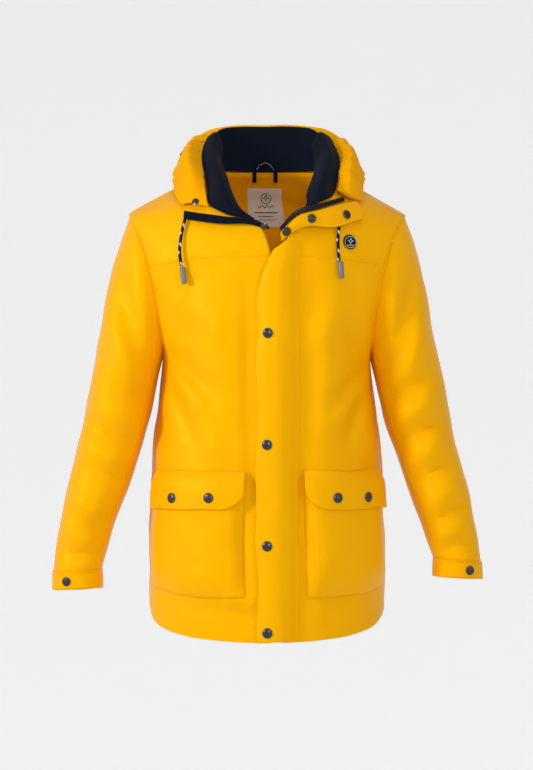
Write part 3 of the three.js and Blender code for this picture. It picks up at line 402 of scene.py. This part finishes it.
def make_material(slot: Slot) -> bpy.types.Material:
    """Builds the procedural material for a slot.

    Args:
        slot: the material slot.

    Returns:
        The material.
    """
    finish = FINISHES[slot]
    graph = Graph(slot.value)
    place = graph.place()
    x, y, z = graph.axes(place)
    clouds = graph.noise(place, 9.0)
    shader = graph.shader
    if slot is Slot.CORD:
        uv = graph.node("ShaderNodeUVMap", {"uv_map": "cord"}, {})
        along, around, _ = graph.axes(uv)
        one = (along * 62.0 + around).fraction()
        two = (along * 31.0 - around).fraction()
        fleck = one.above(0.66) * two.above(0.45)
        colour = graph.mix(fleck, finish.colour, finish.shade)
        strands = (along * 900.0 + around * 25.0).sine() + (along * 900.0 - around * 25.0).sine()
        graph.bump(strands, 0.5, 0.0004)
    else:
        colour = graph.mix(clouds, finish.colour, finish.shade)
        fine = graph.noise(place, 900.0, 3.0) * finish.grain
        height = fine + graph.noise(place, 120.0, 2.0) * (finish.grain * 1.2)
        if slot in (Slot.SHELL, Slot.LINING):
            height = height + graph.noise(place, 13.0, 3.0) * 16.0
        if finish.weave:
            threads = (x * finish.weave * 6.3).sine() + (z * finish.weave * 6.3).sine() + (y * finish.weave * 6.3).sine()
            height = height + threads * 0.12
        graph.bump(height, 0.35, 0.0004)
    graph.feed(shader.inputs["Base Color"], colour)
    rough = graph.noise(place, 40.0, 3.0) * 0.14 + (finish.roughness - 0.07)
    graph.feed(shader.inputs["Roughness"], rough)
    shader.inputs["Metallic"].default_value = finish.metallic
    shader.inputs["Sheen Weight"].default_value = finish.sheen
    shader.inputs["Coat Weight"].default_value = finish.coat
    shader.inputs["Coat Roughness"].default_value = 0.4
    shader.inputs["Specular IOR Level"].default_value = finish.gloss
    shader.inputs["Specular Tint"].default_value = (*finish.tint, 1.0)
    return graph.material


MATERIALS = {slot: make_material(slot) for slot in Slot}
BUILT: dict[str, bpy.types.Object] = {}
BENDS: dict[str, tuple] = {}


# ------------------------------------------------------------------ cloth pieces
@dataclass
class ClothPiece:
    """A cloth piece grown from its CAD solid.

    Attributes:
        node: the CAD node it stands for.
        slot: its material slot.
        body: the body that it rides on.
        levels: how many times its mesh is split.
        bend: body, start and end of a joint that it crosses, when it crosses one.
        gather: depth in millimetres of gathers, when it is scrunched on a cord.
        grown_from: another CAD node whose layer it takes, when the two lie the other way round.
    """

    node: str
    slot: Slot
    body: str
    levels: int = 2
    bend: tuple | None = None
    gather: float = 0.0
    grown_from: str = ""

    def build(self) -> bpy.types.Object:
        """Makes the object.

        Returns:
            The finished cloth.
        """
        source = frame["nodes"][self.grown_from or self.node]
        mesh = source.data.copy()
        mesh.transform(source.matrix_world)
        work = bmesh.new()
        work.from_mesh(mesh)
        bmesh.ops.remove_doubles(work, verts=work.verts, dist=1e-5)
        sharp = math.radians(48)
        bmesh.ops.join_triangles(
            work,
            faces=work.faces,
            angle_face_threshold=math.radians(38),
            angle_shape_threshold=math.pi,
        )
        crease = work.edges.layers.float.get("crease_edge") or work.edges.layers.float.new("crease_edge")
        for edge in work.edges:
            if len(edge.link_faces) == 2 and edge.calc_face_angle(0.0) > sharp:
                edge[crease] = 0.9
        work.to_mesh(mesh)
        work.free()
        obj = bpy.data.objects.new(f"{self.node}_cloth", mesh)
        bpy.context.collection.objects.link(obj)
        modifier = obj.modifiers.new("fine", "SUBSURF")
        modifier.levels = modifier.render_levels = self.levels
        modifier.subdivision_type = "CATMULL_CLARK"
        apply_modifiers(obj)
        points = read_points(obj.data)
        if self.gather:
            points = self._gathered(obj.data, points)
        write_points(obj.data, FIELD.push(points))
        finish_piece(obj, self.slot, self.body, [self.node], self.bend)
        BUILT[self.node] = obj
        BENDS[self.node] = (self.body, self.bend)
        return obj

    def _gathered(self, mesh: bpy.types.Mesh, points: np.ndarray) -> np.ndarray:
        """Scrunches the cloth into short gathers across its length."""
        base = GARMENT.place(0, 0, 0)
        out = Vector((1 if points[:, 0].mean() > 0 else -1, -0.6, 0.75)).normalized()
        moved = points.copy()
        for i, place in enumerate(points):
            x, y, z = ((place[k] - base[k]) / MM for k in range(3))
            along = z * 0.75 + y * 0.55 + abs(x) * 0.12
            wander = noise.noise(Vector((x, y, z)) / 60) * 14
            wave = math.sin((along + wander) / 27 * 2 * math.pi)
            wave += 0.35 * math.sin((along - 1.4 * wander) / 15 * 2 * math.pi)
            fade = min(1.0, max(0.0, (z - 742) / 12))
            moved[i] += np.array(out) * wave * self.gather * fade * MM
        return moved


def read_points(mesh: bpy.types.Mesh) -> np.ndarray:
    """All vertex places of a mesh, one per row."""
    places = np.empty(len(mesh.vertices) * 3)
    mesh.vertices.foreach_get("co", places)
    return places.reshape(-1, 3)


def write_points(mesh: bpy.types.Mesh, points: np.ndarray) -> None:
    """Puts vertex places back into a mesh."""
    mesh.vertices.foreach_set("co", points.reshape(-1))
    mesh.update()


def apply_modifiers(obj: bpy.types.Object) -> None:
    """Turns an object's modifiers into plain mesh."""
    bpy.context.view_layer.update()
    graph = bpy.context.evaluated_depsgraph_get()
    mesh = bpy.data.meshes.new_from_object(obj.evaluated_get(graph))
    obj.modifiers.clear()
    obj.data = mesh


def finish_piece(obj, slot: Slot, body: str, nodes=(), bend=None, smooth=50.0) -> None:
    """Gives a piece its material and smooth shading, hides its CAD nodes, and hangs it on its body unless it has a
    bend.

    Args:
        obj: the piece.
        slot: its material slot.
        body: the body it rides on.
        nodes: the CAD nodes that it replaces.
        bend: (other body, start, end) for a piece that crosses a joint; such a piece is baked in place instead of hung
            on a body.
        smooth: faces that meet at less than this many degrees are shaded smooth.
    """
    obj.data.materials.clear()
    obj.data.materials.append(MATERIALS[slot])
    obj.data.polygons.foreach_set("use_smooth", [True] * len(obj.data.polygons))
    work = bmesh.new()
    work.from_mesh(obj.data)
    for edge in work.edges:
        edge.smooth = len(edge.link_faces) != 2 or edge.calc_face_angle(0.0) < math.radians(smooth)
    work.to_mesh(obj.data)
    work.free()
    if nodes:
        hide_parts(*nodes)
    if bend:
        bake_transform(obj)
    else:
        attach(obj, body)


HOOD_BEND = ("hood", GARMENT.place(0, 84, 840), GARMENT.place(0, 130, 790))
PIECES = [
    ClothPiece("front_panel_right", Slot.SHELL, "shell", 3),
    ClothPiece("front_panel_left", Slot.SHELL, "shell", 3),
    ClothPiece("back_panel", Slot.SHELL, "shell", 2),
    ClothPiece("back_yoke", Slot.SHELL, "shell", 2),
    ClothPiece("front_yoke_right", Slot.SHELL, "shell", 2),
    ClothPiece("front_yoke_left", Slot.SHELL, "shell", 2),
    ClothPiece("storm_flap", Slot.SHELL, "shell", 2, ("storm_flap", GARMENT.place(52, 0, 300), GARMENT.place(36, 0, 300))),
    ClothPiece("storm_flap_end", Slot.SHELL, "shell", 2),
    ClothPiece("wind_guard", Slot.LINING, "shell", 2),
    ClothPiece("collar_lining_right", Slot.LINING, "shell", 2),
    ClothPiece("collar_lining_left", Slot.LINING, "shell", 2),
    ClothPiece("hood_edge_right", Slot.FACING, "shell", 3, gather=1.7),
    ClothPiece("hood_edge_left", Slot.FACING, "shell", 3, gather=1.7),
    ClothPiece("hood_stand", Slot.LINING, "shell", 2),
    ClothPiece("hood_shell", Slot.SHELL, "shell", 2, HOOD_BEND, grown_from="hood_lining"),
    ClothPiece("hood_lining", Slot.LINING, "shell", 2, HOOD_BEND, grown_from="hood_shell"),
    ClothPiece("neck_facing", Slot.FACING, "shell", 2),
    ClothPiece("neck_label", Slot.LABEL, "shell", 2),
    ClothPiece("hanger_loop", Slot.LINING, "shell", 2),
    ClothPiece("hem_facing", Slot.FACING, "shell", 1),
    ClothPiece("zip_upper_left", Slot.ZIP, "shell", 2),
    ClothPiece("zip_half_right", Slot.ZIP, "shell", 0),
    ClothPiece("zip_half_left", Slot.ZIP, "shell", 0),
]
for side in ("right", "left"):
    sign = -1 if side == "right" else 1
    shoulder = GARMENT.place(sign * 214, 0, 660)
    arm = GARMENT.place(sign * 262, 0, 560)
    bend = (f"sleeve_{side}", shoulder, arm)
    PIECES += [
        ClothPiece(f"sleeve_top_{side}", Slot.SHELL, "shell", 2, bend),
        ClothPiece(f"sleeve_under_{side}", Slot.SHELL, "shell", 2, bend),
        ClothPiece(f"cuff_{side}", Slot.SHELL, f"sleeve_{side}", 2),
        ClothPiece(f"cuff_tab_{side}", Slot.SHELL, f"cuff_tab_{side}", 2),
        ClothPiece(f"pocket_bag_{side}", Slot.SHELL, "shell", 2),
        ClothPiece(f"pocket_flap_{side}", Slot.SHELL, f"pocket_flap_{side}", 2),
    ]

RIGID = {
    "zip_slider": Slot.ZIP,
    "zip_pull": Slot.ZIP,
    "chest_badge": Slot.BADGE,
    "collar_socket_1": Slot.BRASS,
    "collar_socket_2": Slot.BRASS,
    "collar_socket_3": Slot.BRASS,
    "collar_stud_1": Slot.BRASS,
    "collar_stud_2": Slot.BRASS,
    "cord_eyelet_right": Slot.BRASS,
    "cord_eyelet_left": Slot.BRASS,
    "cord_tip_right": Slot.TIP,
    "cord_tip_left": Slot.TIP,
    "cuff_snap_right": Slot.SNAP,
    "cuff_snap_left": Slot.SNAP,
    **{f"storm_snap_{i}": Slot.SNAP for i in range(1, 5)},
    **{f"pocket_snap_{s}_{e}": Slot.SNAP for s in ("right", "left") for e in ("inner", "outer")},
}


def body_of(node: str) -> str:
    """The CAD body that holds a node."""
    bodies = frame["record"]["behaviour"]["bodies"]
    return next(name for name, nodes in bodies.items() if node in nodes)


def shift_at(place: Vector) -> Vector:
    """How far the shared field moves one place."""
    point = np.array([place])
    return Vector((FIELD.push(point) - point)[0])


def build_rigid(node: str, slot: Slot) -> bpy.types.Object:
    """Copies a small hard piece, rounds it and seats it on the moved cloth.

    Args:
        node: the CAD node.
        slot: its material slot.

    Returns:
        The piece.
    """
    source = frame["nodes"][node]
    mesh = source.data.copy()
    mesh.transform(source.matrix_world)
    low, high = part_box(node)
    mesh.transform(Matrix.Translation(shift_at((low + high) / 2)))
    obj = bpy.data.objects.new(f"{node}_detail", mesh)
    bpy.context.collection.objects.link(obj)
    work = bmesh.new()
    work.from_mesh(mesh)
    bmesh.ops.remove_doubles(work, verts=work.verts, dist=1e-5)
    bmesh.ops.dissolve_limit(work, angle_limit=math.radians(1), verts=work.verts, edges=work.edges)
    work.to_mesh(mesh)
    work.free()
    bevel = obj.modifiers.new("round", "BEVEL")
    bevel.width = 0.00025
    bevel.segments = 2
    bevel.limit_method = "ANGLE"
    bevel.angle_limit = math.radians(40)
    apply_modifiers(obj)
    finish_piece(obj, slot, body_of(node), [node], smooth=35)
    BUILT[node] = obj
    return obj


# ------------------------------------------------------------------ seams
@dataclass(frozen=True)
class Seam:
    """A sewn seam between two sets of cloth pieces.

    Attributes:
        name: for the object.
        one: node whose edge the seam follows.
        others: nodes that it is sewn to.
        key: "x" or "z" for a seam that runs along that axis, or "ring" for one that goes round.
        side: only points with this sign of x, or 0 for all.
        back: only points with this sign of y, or 0 for all.
        body: the body that the seam rides on.
    """

    name: str
    one: str
    others: tuple[str, ...]
    key: str
    side: int = 0
    back: int = 0
    body: str = "shell"

    def line(self) -> list[Vector]:
        """Finds the middle of the seam from the CAD edges.

        Returns:
            Points along the seam.
        """
        places = read_points(frame["nodes"][self.one].data)
        trees = []
        for node in self.others:
            mesh = frame["nodes"][node].data
            polygons = [list(face.vertices) for face in mesh.polygons]
            trees.append(BVHTree.FromPolygons([v.co for v in mesh.vertices], polygons))
        near = []
        for place in places:
            hits = [tree.find_nearest(Vector(place), 0.0026) for tree in trees]
            hits = [hit for hit in hits if hit[0] is not None]
            if hits:
                hit = min(hits, key=lambda h: h[3])
                near.append((Vector(place) + hit[0]) / 2)
        base = GARMENT.place(0, 0, 0)
        near = [p for p in near if not self.side or (p.x - base.x) * self.side > 0]
        near = [p for p in near if not self.back or (p.y - base.y) * self.back > 0]
        middle = sum(near, Vector()) / len(near)
        if self.key == "ring":
            flat = "sleeve" in self.one and "cuff" not in self.name
            keyed = [
                (math.atan2(p.y - middle.y, (p.z - middle.z) if flat else (p.x - middle.x)), p)
                for p in near
            ]
            step = math.radians(7)
        else:
            axis = "xyz".index(self.key)
            keyed = [(p[axis], p) for p in near]
            step = 0.009
        keyed.sort(key=lambda pair: pair[0])
        groups: list[list] = []
        for key, place in keyed:
            if groups and key - groups[-1][0][0] < step:
                groups[-1].append((key, place))
            else:
                groups.append([(key, place)])
        points = [sum((p for _, p in group), Vector()) / len(group) for group in groups]
        if self.key == "ring":
            points.append(points[0])
        return points

    def build(self) -> bpy.types.Object | None:
        """Makes the seam's thin rolled edge."""
        points = self.line()
        if len(points) < 3:
            LOG.warning("seam %s has no line", self.name)
            return None
        centre = smooth_line(points, len(points) * 5)
        centre = [Vector(p) for p in FIELD.push(np.array(centre))]
        obj = tube(f"seam_{self.name}", centre, 0.00125, 8)
        finish_piece(obj, Slot.SHELL, self.body)
        return obj


def list_seams() -> list[Seam]:
    """Every seam of the shell.

    Returns:
        The seams.
    """
    seams = [Seam("back_yoke", "back_yoke", ("back_panel",), "x")]
    for side, sign in (("right", -1), ("left", 1)):
        armhole = (f"front_panel_{side}", f"front_yoke_{side}", "back_panel", "back_yoke")
        top, under = f"sleeve_top_{side}", f"sleeve_under_{side}"
        seams += [
            Seam(f"front_yoke_{side}", f"front_yoke_{side}", (f"front_panel_{side}",), "x"),
            Seam(f"shoulder_{side}", f"front_yoke_{side}", ("back_yoke",), "x"),
            Seam(f"side_{side}", f"front_panel_{side}", ("back_panel",), "z"),
            Seam(f"armhole_{side}", top, armhole, "ring"),
            Seam(f"sleeve_front_{side}", under, (top,), "z", back=-1),
            Seam(f"sleeve_back_{side}", under, (top,), "z", back=1),
            Seam(f"cuff_{side}", f"cuff_{side}", (top, under), "ring", body=f"sleeve_{side}"),
        ]
    return seams


# ------------------------------------------------------------------ stitching and marks
class Surface:
    """A finished piece that other things can be laid on, seen from the front or the back."""

    def __init__(self, node: str) -> None:
        mesh = BUILT[node].data
        polygons = [list(face.vertices) for face in mesh.polygons]
        self.tree = BVHTree.FromPolygons([v.co for v in mesh.vertices], polygons)

    def place(self, x: float, z: float, back: bool = False) -> tuple[Vector, Vector] | None:
        """Finds the cloth at a place on the view.

        Args:
            x: towards the wearer's left, in garment millimetres.
            z: above the hem.
            back: look from behind.

        Returns:
            The point and the way out of the cloth, or None past its edge.
        """
        sign = -1 if back else 1
        start = GARMENT.place(x, -450 * sign, z)
        hit, normal, _, _ = self.tree.ray_cast(start, Vector((0, sign, 0)))
        if hit is None:
            return None
        return hit, normal if normal.y * sign < 0 else -normal


@dataclass(frozen=True)
class StitchRow:
    """A row of stitches laid along a line on one piece.

    Attributes:
        name: for the object.
        node: the piece that it is sewn into.
        line: x and z corners in garment millimetres.
        slot: the thread's material slot.
        pitch: from stitch to stitch.
        size: length, width and height of one stitch.
        across: turned across the line, for zip teeth.
        back: seen from behind.
    """

    name: str
    node: str
    line: tuple[tuple[float, float], ...]
    slot: Slot = Slot.SHELL
    pitch: float = 3.6
    size: tuple[float, float, float] = (2.9, 0.95, 0.55)
    across: bool = False
    back: bool = False

    def _spots(self) -> list[tuple[float, float]]:
        """Evenly spaced places along the line."""
        spots = []
        carry = self.pitch / 2
        for (x0, z0), (x1, z1) in zip(self.line, self.line[1:]):
            length = math.hypot(x1 - x0, z1 - z0)
            while carry < length:
                spots.append((x0 + (x1 - x0) * carry / length, z0 + (z1 - z0) * carry / length))
                carry += self.pitch
            carry -= length
        return spots

    def build(self) -> bpy.types.Object | None:
        """Makes the row.

        Returns:
            The stitches as one object, or None when none land on the piece.
        """
        surface = Surface(self.node)
        found = [surface.place(x, z, self.back) for x, z in self._spots()]
        work = bmesh.new()
        for i, spot in enumerate(found):
            near = [f for f in found[max(0, i - 1) : i + 2] if f]
            if spot is None or len(near) < 2:
                continue
            place, out = spot
            along = near[-1][0] - near[0][0]
            along = (along - out * along.dot(out)).normalized()
            side = out.cross(along)
            if self.across:
                along, side = side, along
            half, wide, high = (value * MM / 2 for value in self.size)
            corners = (along * half, side * wide, -along * half, -side * wide, out * high * 2, -out * high)
            verts = [work.verts.new(place + corner) for corner in corners]
            for k in range(4):
                j = (k + 1) % 4
                work.faces.new((verts[k], verts[j], verts[4]))
                work.faces.new((verts[j], verts[k], verts[5]))
        if not work.verts:
            work.free()
            LOG.warning("no stitches landed for %s", self.name)
            return None
        mesh = bpy.data.meshes.new(self.name)
        work.to_mesh(mesh)
        work.free()
        obj = bpy.data.objects.new(f"stitch_{self.name}", mesh)
        bpy.context.collection.objects.link(obj)
        body, bend = BENDS[self.node]
        finish_piece(obj, self.slot, body, bend=bend, smooth=80)
        return obj


def shape_line(kind: str, x: float, z: float, size: float) -> list[tuple[float, float]]:
    """The outline of a plain mark.

    Args:
        kind: "ring", "star", "wave" or "bar".
        x: its middle, in garment millimetres.
        z: its middle's height.
        size: half its width.

    Returns:
        Points along the outline.
    """
    if kind == "ring":
        turns = np.linspace(0, 2 * math.pi, 37)
        return [(x + size * math.cos(t), z + size * math.sin(t)) for t in turns]
    if kind == "star":
        turns = np.linspace(math.pi / 2, 2.5 * math.pi, 17)
        reach = [size * (1.0 if k % 4 == 0 else 0.42 if k % 4 == 2 else 0.55) for k in range(17)]
        return [(x + r * math.cos(t), z + r * math.sin(t)) for t, r in zip(turns, reach)]
    if kind == "wave":
        steps = np.linspace(-1, 1, 25)
        return [(x + size * t, z + size * 0.16 * math.sin(3 * math.pi * t)) for t in steps]
    return [(x + size * t, z) for t in np.linspace(-1, 1, 9)]


@dataclass(frozen=True)
class Mark:
    """A plain embroidered mark on one piece.

    Attributes:
        node: the piece.
        kind: what shape_line is asked for.
        place: x and z of its middle.
        size: half its width.
        slot: the thread's material slot.
        thick: the thread's radius, in millimetres.
    """

    node: str
    kind: str
    place: tuple[float, float]
    size: float
    slot: Slot
    thick: float = 0.5

    def build(self) -> None:
        """Lays the thread on the piece."""
        surface = Surface(self.node)
        spots = [surface.place(x, z) for x, z in shape_line(self.kind, *self.place, self.size)]
        line = [place + out * 0.1 * MM for place, out in (spot for spot in spots if spot)]
        if len(line) < 4:
            LOG.warning("mark %s missed %s", self.kind, self.node)
            return
        obj = tube(f"mark_{self.node}_{self.kind}_{int(self.place[1])}", line, self.thick * MM, 6)
        finish_piece(obj, self.slot, body_of(self.node))


def list_stitches() -> list[StitchRow]:
    """Every row of stitches and zip teeth.

    Returns:
        The rows.
    """
    collar = ((26, 655), (43, 670.5), (72, 682), (112, 682), (155, 694))
    upper = ((24, 663), (44, 684), (72, 696), (112, 705), (146, 715))
    teeth = ((21.5, 670.5), (43, 692.5), (71, 705), (107.5, 715), (126.5, 721))
    rows = [
        StitchRow("flap_free", "storm_flap", ((-10.5, 4), (-10.5, 556), (-5, 592), (6, 628), (14, 640))),
        StitchRow("flap_sewn", "storm_flap", ((45.5, 3), (45.5, 660))),
        StitchRow("flap_edge", "storm_flap", ((50.2, 3), (50.2, 664))),
        StitchRow("collar_low", "storm_flap_end", collar),
        StitchRow("collar_high", "storm_flap_end", upper),
        StitchRow("zip_teeth_up", "zip_upper_left", teeth, Slot.ZIP, 2.6, (4.6, 1.6, 1.5), True),
        StitchRow("loop_white_1", "hanger_loop", ((-17, 775), (-12, 783), (-3, 787), (6, 783), (11, 775)), Slot.LABEL),
        StitchRow("guard_white", "wind_guard", ((-92, 711), (-70, 710), (-45, 707)), Slot.LABEL, 4.2),
        StitchRow("guard_edge", "wind_guard", ((-128, 690), (-60, 683), (-5, 675)), Slot.LINING, 3.6),
    ]
    rows += [
        StitchRow(f"zip_teeth_{half}", f"zip_half_{half}", ((x, 6), (x, 598)), Slot.ZIP, 2.6, (2.6, 1.6, 0.8), True)
        for half, x in (("right", 14.6), ("left", 19.4))
    ]
    for side, sign in (("right", -1), ("left", 1)):
        panel, yoke = f"front_panel_{side}", f"front_yoke_{side}"
        inner, outer = ((-42, -186), (88, 190))[side == "left"]
        rows.append(StitchRow(f"yoke_{side}", yoke, tuple((sign * x, z) for x, z in YOKE_ROW)))
        rows.append(StitchRow(f"hem_{side}", panel, ((inner - sign * 22, 29), (sign * 120, 33), (outer, 46))))
        bag = POCKET_ROWS[side]
        rows.append(StitchRow(f"pocket_{side}", f"pocket_bag_{side}", bag))
        rows.append(StitchRow(f"pocket_flap_{side}", f"pocket_flap_{side}", FLAP_ROWS[side]))
        back = tuple((sign * x, z) for x, z in ((2, 640), (80, 640), (190, 632)))
        rows.append(StitchRow(f"back_yoke_{side}", "back_yoke", back, back=True))
        hem = tuple((sign * x, z) for x, z in ((2, 28), (100, 33), (184, 46)))
        rows.append(StitchRow(f"back_hem_{side}", "back_panel", hem, back=True))
        height = 108 if side == "right" else 125
        cuff = tuple((sign * x, z) for x, z in ((336, height + 5), (270, height - 1)))
        rows.append(StitchRow(f"cuff_{side}", f"cuff_{side}", cuff))
    return rows


YOKE_ROW = ((24, 633), (60, 632), (110, 628), (160, 620), (192, 614))
POCKET_ROWS = {
    "right": ((-180, 255), (-176, 92), (-118, 66), (-48, 64), (-48, 255)),
    "left": ((82, 255), (88, 58), (128, 67), (180, 98), (184, 255)),
}
FLAP_ROWS = {
    "right": ((-185, 272), (-187, 218), (-84, 217), (-54, 241), (-52, 272)),
    "left": ((88, 272), (91, 232), (114, 214), (186, 222), (186, 272)),
}
MARKS = (
    Mark("chest_badge", "ring", (136.4, 650.4), 9.3, Slot.LABEL, 0.45),
    Mark("chest_badge", "star", (136.4, 652.2), 4.6, Slot.LABEL, 0.5),
    Mark("chest_badge", "wave", (136.4, 645.2), 5.4, Slot.LABEL, 0.4),
    Mark("neck_label", "ring", (-1.5, 729), 8.2, Slot.BADGE, 0.6),
    Mark("neck_label", "star", (-1.5, 730), 4.8, Slot.BADGE, 0.6),
    Mark("neck_label", "wave", (-1.5, 716), 13, Slot.BADGE, 0.6),
    Mark("neck_label", "bar", (-1.5, 706), 19, Slot.BADGE, 0.8),
    Mark("neck_label", "bar", (-1.5, 700), 13, Slot.BADGE, 0.6),
    Mark("neck_label", "bar", (-1.5, 694), 16, Slot.BADGE, 0.4),
)


# ------------------------------------------------------------------ the drawcords
CORD_POINTS = {
    "right": [(-130, 699), (-133, 684), (-138, 662), (-141, 634), (-138, 611)],
    "left": [(121, 690), (119, 674), (117.5, 655), (118, 634), (119, 619)],
}


def smooth_line(points: list[Vector], count: int) -> list[Vector]:
    """A Catmull-Rom line through points, evenly sampled in its own parameter."""
    line = []
    last = len(points) - 1
    for i in range(count + 1):
        t = i / count * last
        k = min(int(t), last - 1)
        f = t - k
        p0, p1 = points[max(k - 1, 0)], points[k]
        p2, p3 = points[k + 1], points[min(k + 2, last)]
        line.append(
            0.5
            * (2 * p1 + (p2 - p0) * f + (2 * p0 - 5 * p1 + 4 * p2 - p3) * f * f + (3 * p1 - p0 - 3 * p2 + p3) * f**3)
        )
    return line


def tube(name: str, line: list[Vector], radius: float, sides: int, ends: bool = True) -> bpy.types.Object:
    """A round tube along a line, with its length and turn stored for the shader.

    Args:
        name: the object's name.
        line: the centre line.
        radius: of the tube, in metres.
        sides: of its section.
        ends: whether to close the ends.

    Returns:
        The tube.
    """
    mesh = bpy.data.meshes.new(name)
    work = bmesh.new()
    uv = work.loops.layers.uv.new("cord")
    rings = []
    spent = 0.0
    side = Vector((1, 0, 0))
    for i, centre in enumerate(line):
        ahead = (line[min(i + 1, len(line) - 1)] - line[max(i - 1, 0)]).normalized()
        side = (side - ahead * side.dot(ahead)).normalized()
        up = ahead.cross(side)
        if i:
            spent += (centre - line[i - 1]).length
        ring = []
        for k in range(sides):
            turn = k / sides * 2 * math.pi
            ring.append(work.verts.new(centre + (side * math.cos(turn) + up * math.sin(turn)) * radius))
        rings.append((ring, spent))
    for (low, start), (high, stop) in zip(rings, rings[1:]):
        for k in range(sides):
            j = (k + 1) % sides
            face = work.faces.new((low[k], low[j], high[j], high[k]))
            places = ((start, k), (start, k + 1), (stop, k + 1), (stop, k))
            for loop, (along, around) in zip(face.loops, places):
                loop[uv].uv = (along, around / sides)
    if ends:
        work.faces.new(list(reversed(rings[0][0])))
        work.faces.new(rings[-1][0])
    work.to_mesh(mesh)
    work.free()
    obj = bpy.data.objects.new(name, mesh)
    bpy.context.collection.objects.link(obj)
    return obj


def build_cord(side: str) -> bpy.types.Object:
    """Makes one drawcord from its eyelet to its moulded end.

    Args:
        side: the wearer's right or left.

    Returns:
        The cord.
    """
    node = f"drawcord_{side}"
    source = frame["nodes"][node]
    places = read_points(source.data)
    low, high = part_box(node)
    line = []
    for x, z in CORD_POINTS[side]:
        aim = GARMENT.place(x, 0, z)
        near = places[np.argsort(np.abs(places[:, 2] - aim.z))[:8]]
        line.append(Vector((aim.x, float(near[:, 1].mean()), aim.z)))
    centre = smooth_line(line, 40)
    drift = shift_at((low + high) / 2)
    centre = [p + drift for p in centre]
    radius = 0.0026
    obj = tube(f"{node}_braid", centre, radius, 16)
    finish_piece(obj, Slot.CORD, "shell", [node])
    length = sum((b - a).length for a, b in zip(centre, centre[1:]))
    return obj


# ------------------------------------------------------------------ the picture
class Studio:
    """The camera, the lights and the pale backdrop."""

    def __init__(self, garment: Garment) -> None:
        self.garment = garment
        self.aim = garment.place(-0.5, -140, 418)

    def build(self) -> None:
        """Sets the whole studio up."""
        self._camera()
        self._light("key", (-2.7, -1.4, 0.9), 0.7, 50)
        self._light("fill", (2.6, -2.0, 0.5), 1.5, 9)
        self._light("front", (0.1, -3.4, 0.7), 0.8, 30)
        self._light("top", (0.3, -0.9, 2.5), 1.4, 10)
        self._backdrop()

    def _camera(self) -> None:
        """A long lens, level, straight in front."""
        distance = 8.0
        data = bpy.data.cameras.new("camera")
        data.lens = 36 * distance / 1.247
        data.clip_end = 30
        camera = bpy.data.objects.new("camera", data)
        camera.location = self.aim + Vector((0, -distance, 0))
        camera.rotation_euler = (math.pi / 2, 0, 0)
        bpy.context.collection.objects.link(camera)
        bpy.context.scene.camera = camera

    def _light(self, name: str, offset: tuple, size: float, power: float) -> None:
        """A soft square light that looks at the jacket."""
        data = bpy.data.lights.new(name, "AREA")
        data.size = size
        data.energy = power
        light = bpy.data.objects.new(name, data)
        light.location = self.aim + Vector(offset)
        look = self.aim - light.location
        light.rotation_euler = look.to_track_quat("-Z", "Y").to_euler()
        bpy.context.collection.objects.link(light)

    def _backdrop(self) -> None:
        """A pale curved sweep behind and below, and a pale world."""
        mesh = bpy.data.meshes.new("backdrop")
        work = bmesh.new()
        floor = self.aim.z - 4
        back = self.aim.y + 18
        profile = [(-12, 0)] + [
            (back - 0.8 + 0.8 * math.sin(t), 0.8 - 0.8 * math.cos(t)) for t in np.linspace(0, math.pi / 2, 12)
        ]
        profile.append((back, 14))
        rows = [[work.verts.new((x, y, floor + z)) for y, z in profile] for x in (-18, 18)]
        for i in range(len(profile) - 1):
            work.faces.new((rows[0][i], rows[1][i], rows[1][i + 1], rows[0][i + 1]))
        work.to_mesh(mesh)
        work.free()
        sweep = bpy.data.objects.new("backdrop", mesh)
        bpy.context.collection.objects.link(sweep)
        graph = Graph("backdrop")
        graph.shader.inputs["Base Color"].default_value = (0.9, 0.9, 0.9, 1)
        graph.shader.inputs["Roughness"].default_value = 1
        graph.shader.inputs["Emission Color"].default_value = (1, 1, 1, 1)
        graph.shader.inputs["Emission Strength"].default_value = 0.335
        mesh.materials.append(graph.material)
        for face in mesh.polygons:
            face.use_smooth = True
        world = bpy.data.worlds.new("pale")
        bpy.context.scene.world = world
        world.use_nodes = True
        world.node_tree.nodes["Background"].inputs["Color"].default_value = (1, 1, 1, 1)
        world.node_tree.nodes["Background"].inputs["Strength"].default_value = 0.4
        bpy.context.scene.view_settings.view_transform = "Standard"


def main() -> None:
    """Builds the whole scene."""
    logging.basicConfig(level=logging.INFO)
    for piece in PIECES:
        piece.build()
    hard = {node: build_rigid(node, slot) for node, slot in RIGID.items()}
    for side in ("right", "left"):
        build_cord(side)
    for seam in list_seams():
        seam.build()
    for row in list_stitches():
        row.build()
    for mark in MARKS:
        mark.build()
    Studio(GARMENT).build()


if __name__ == "__main__":
    main()
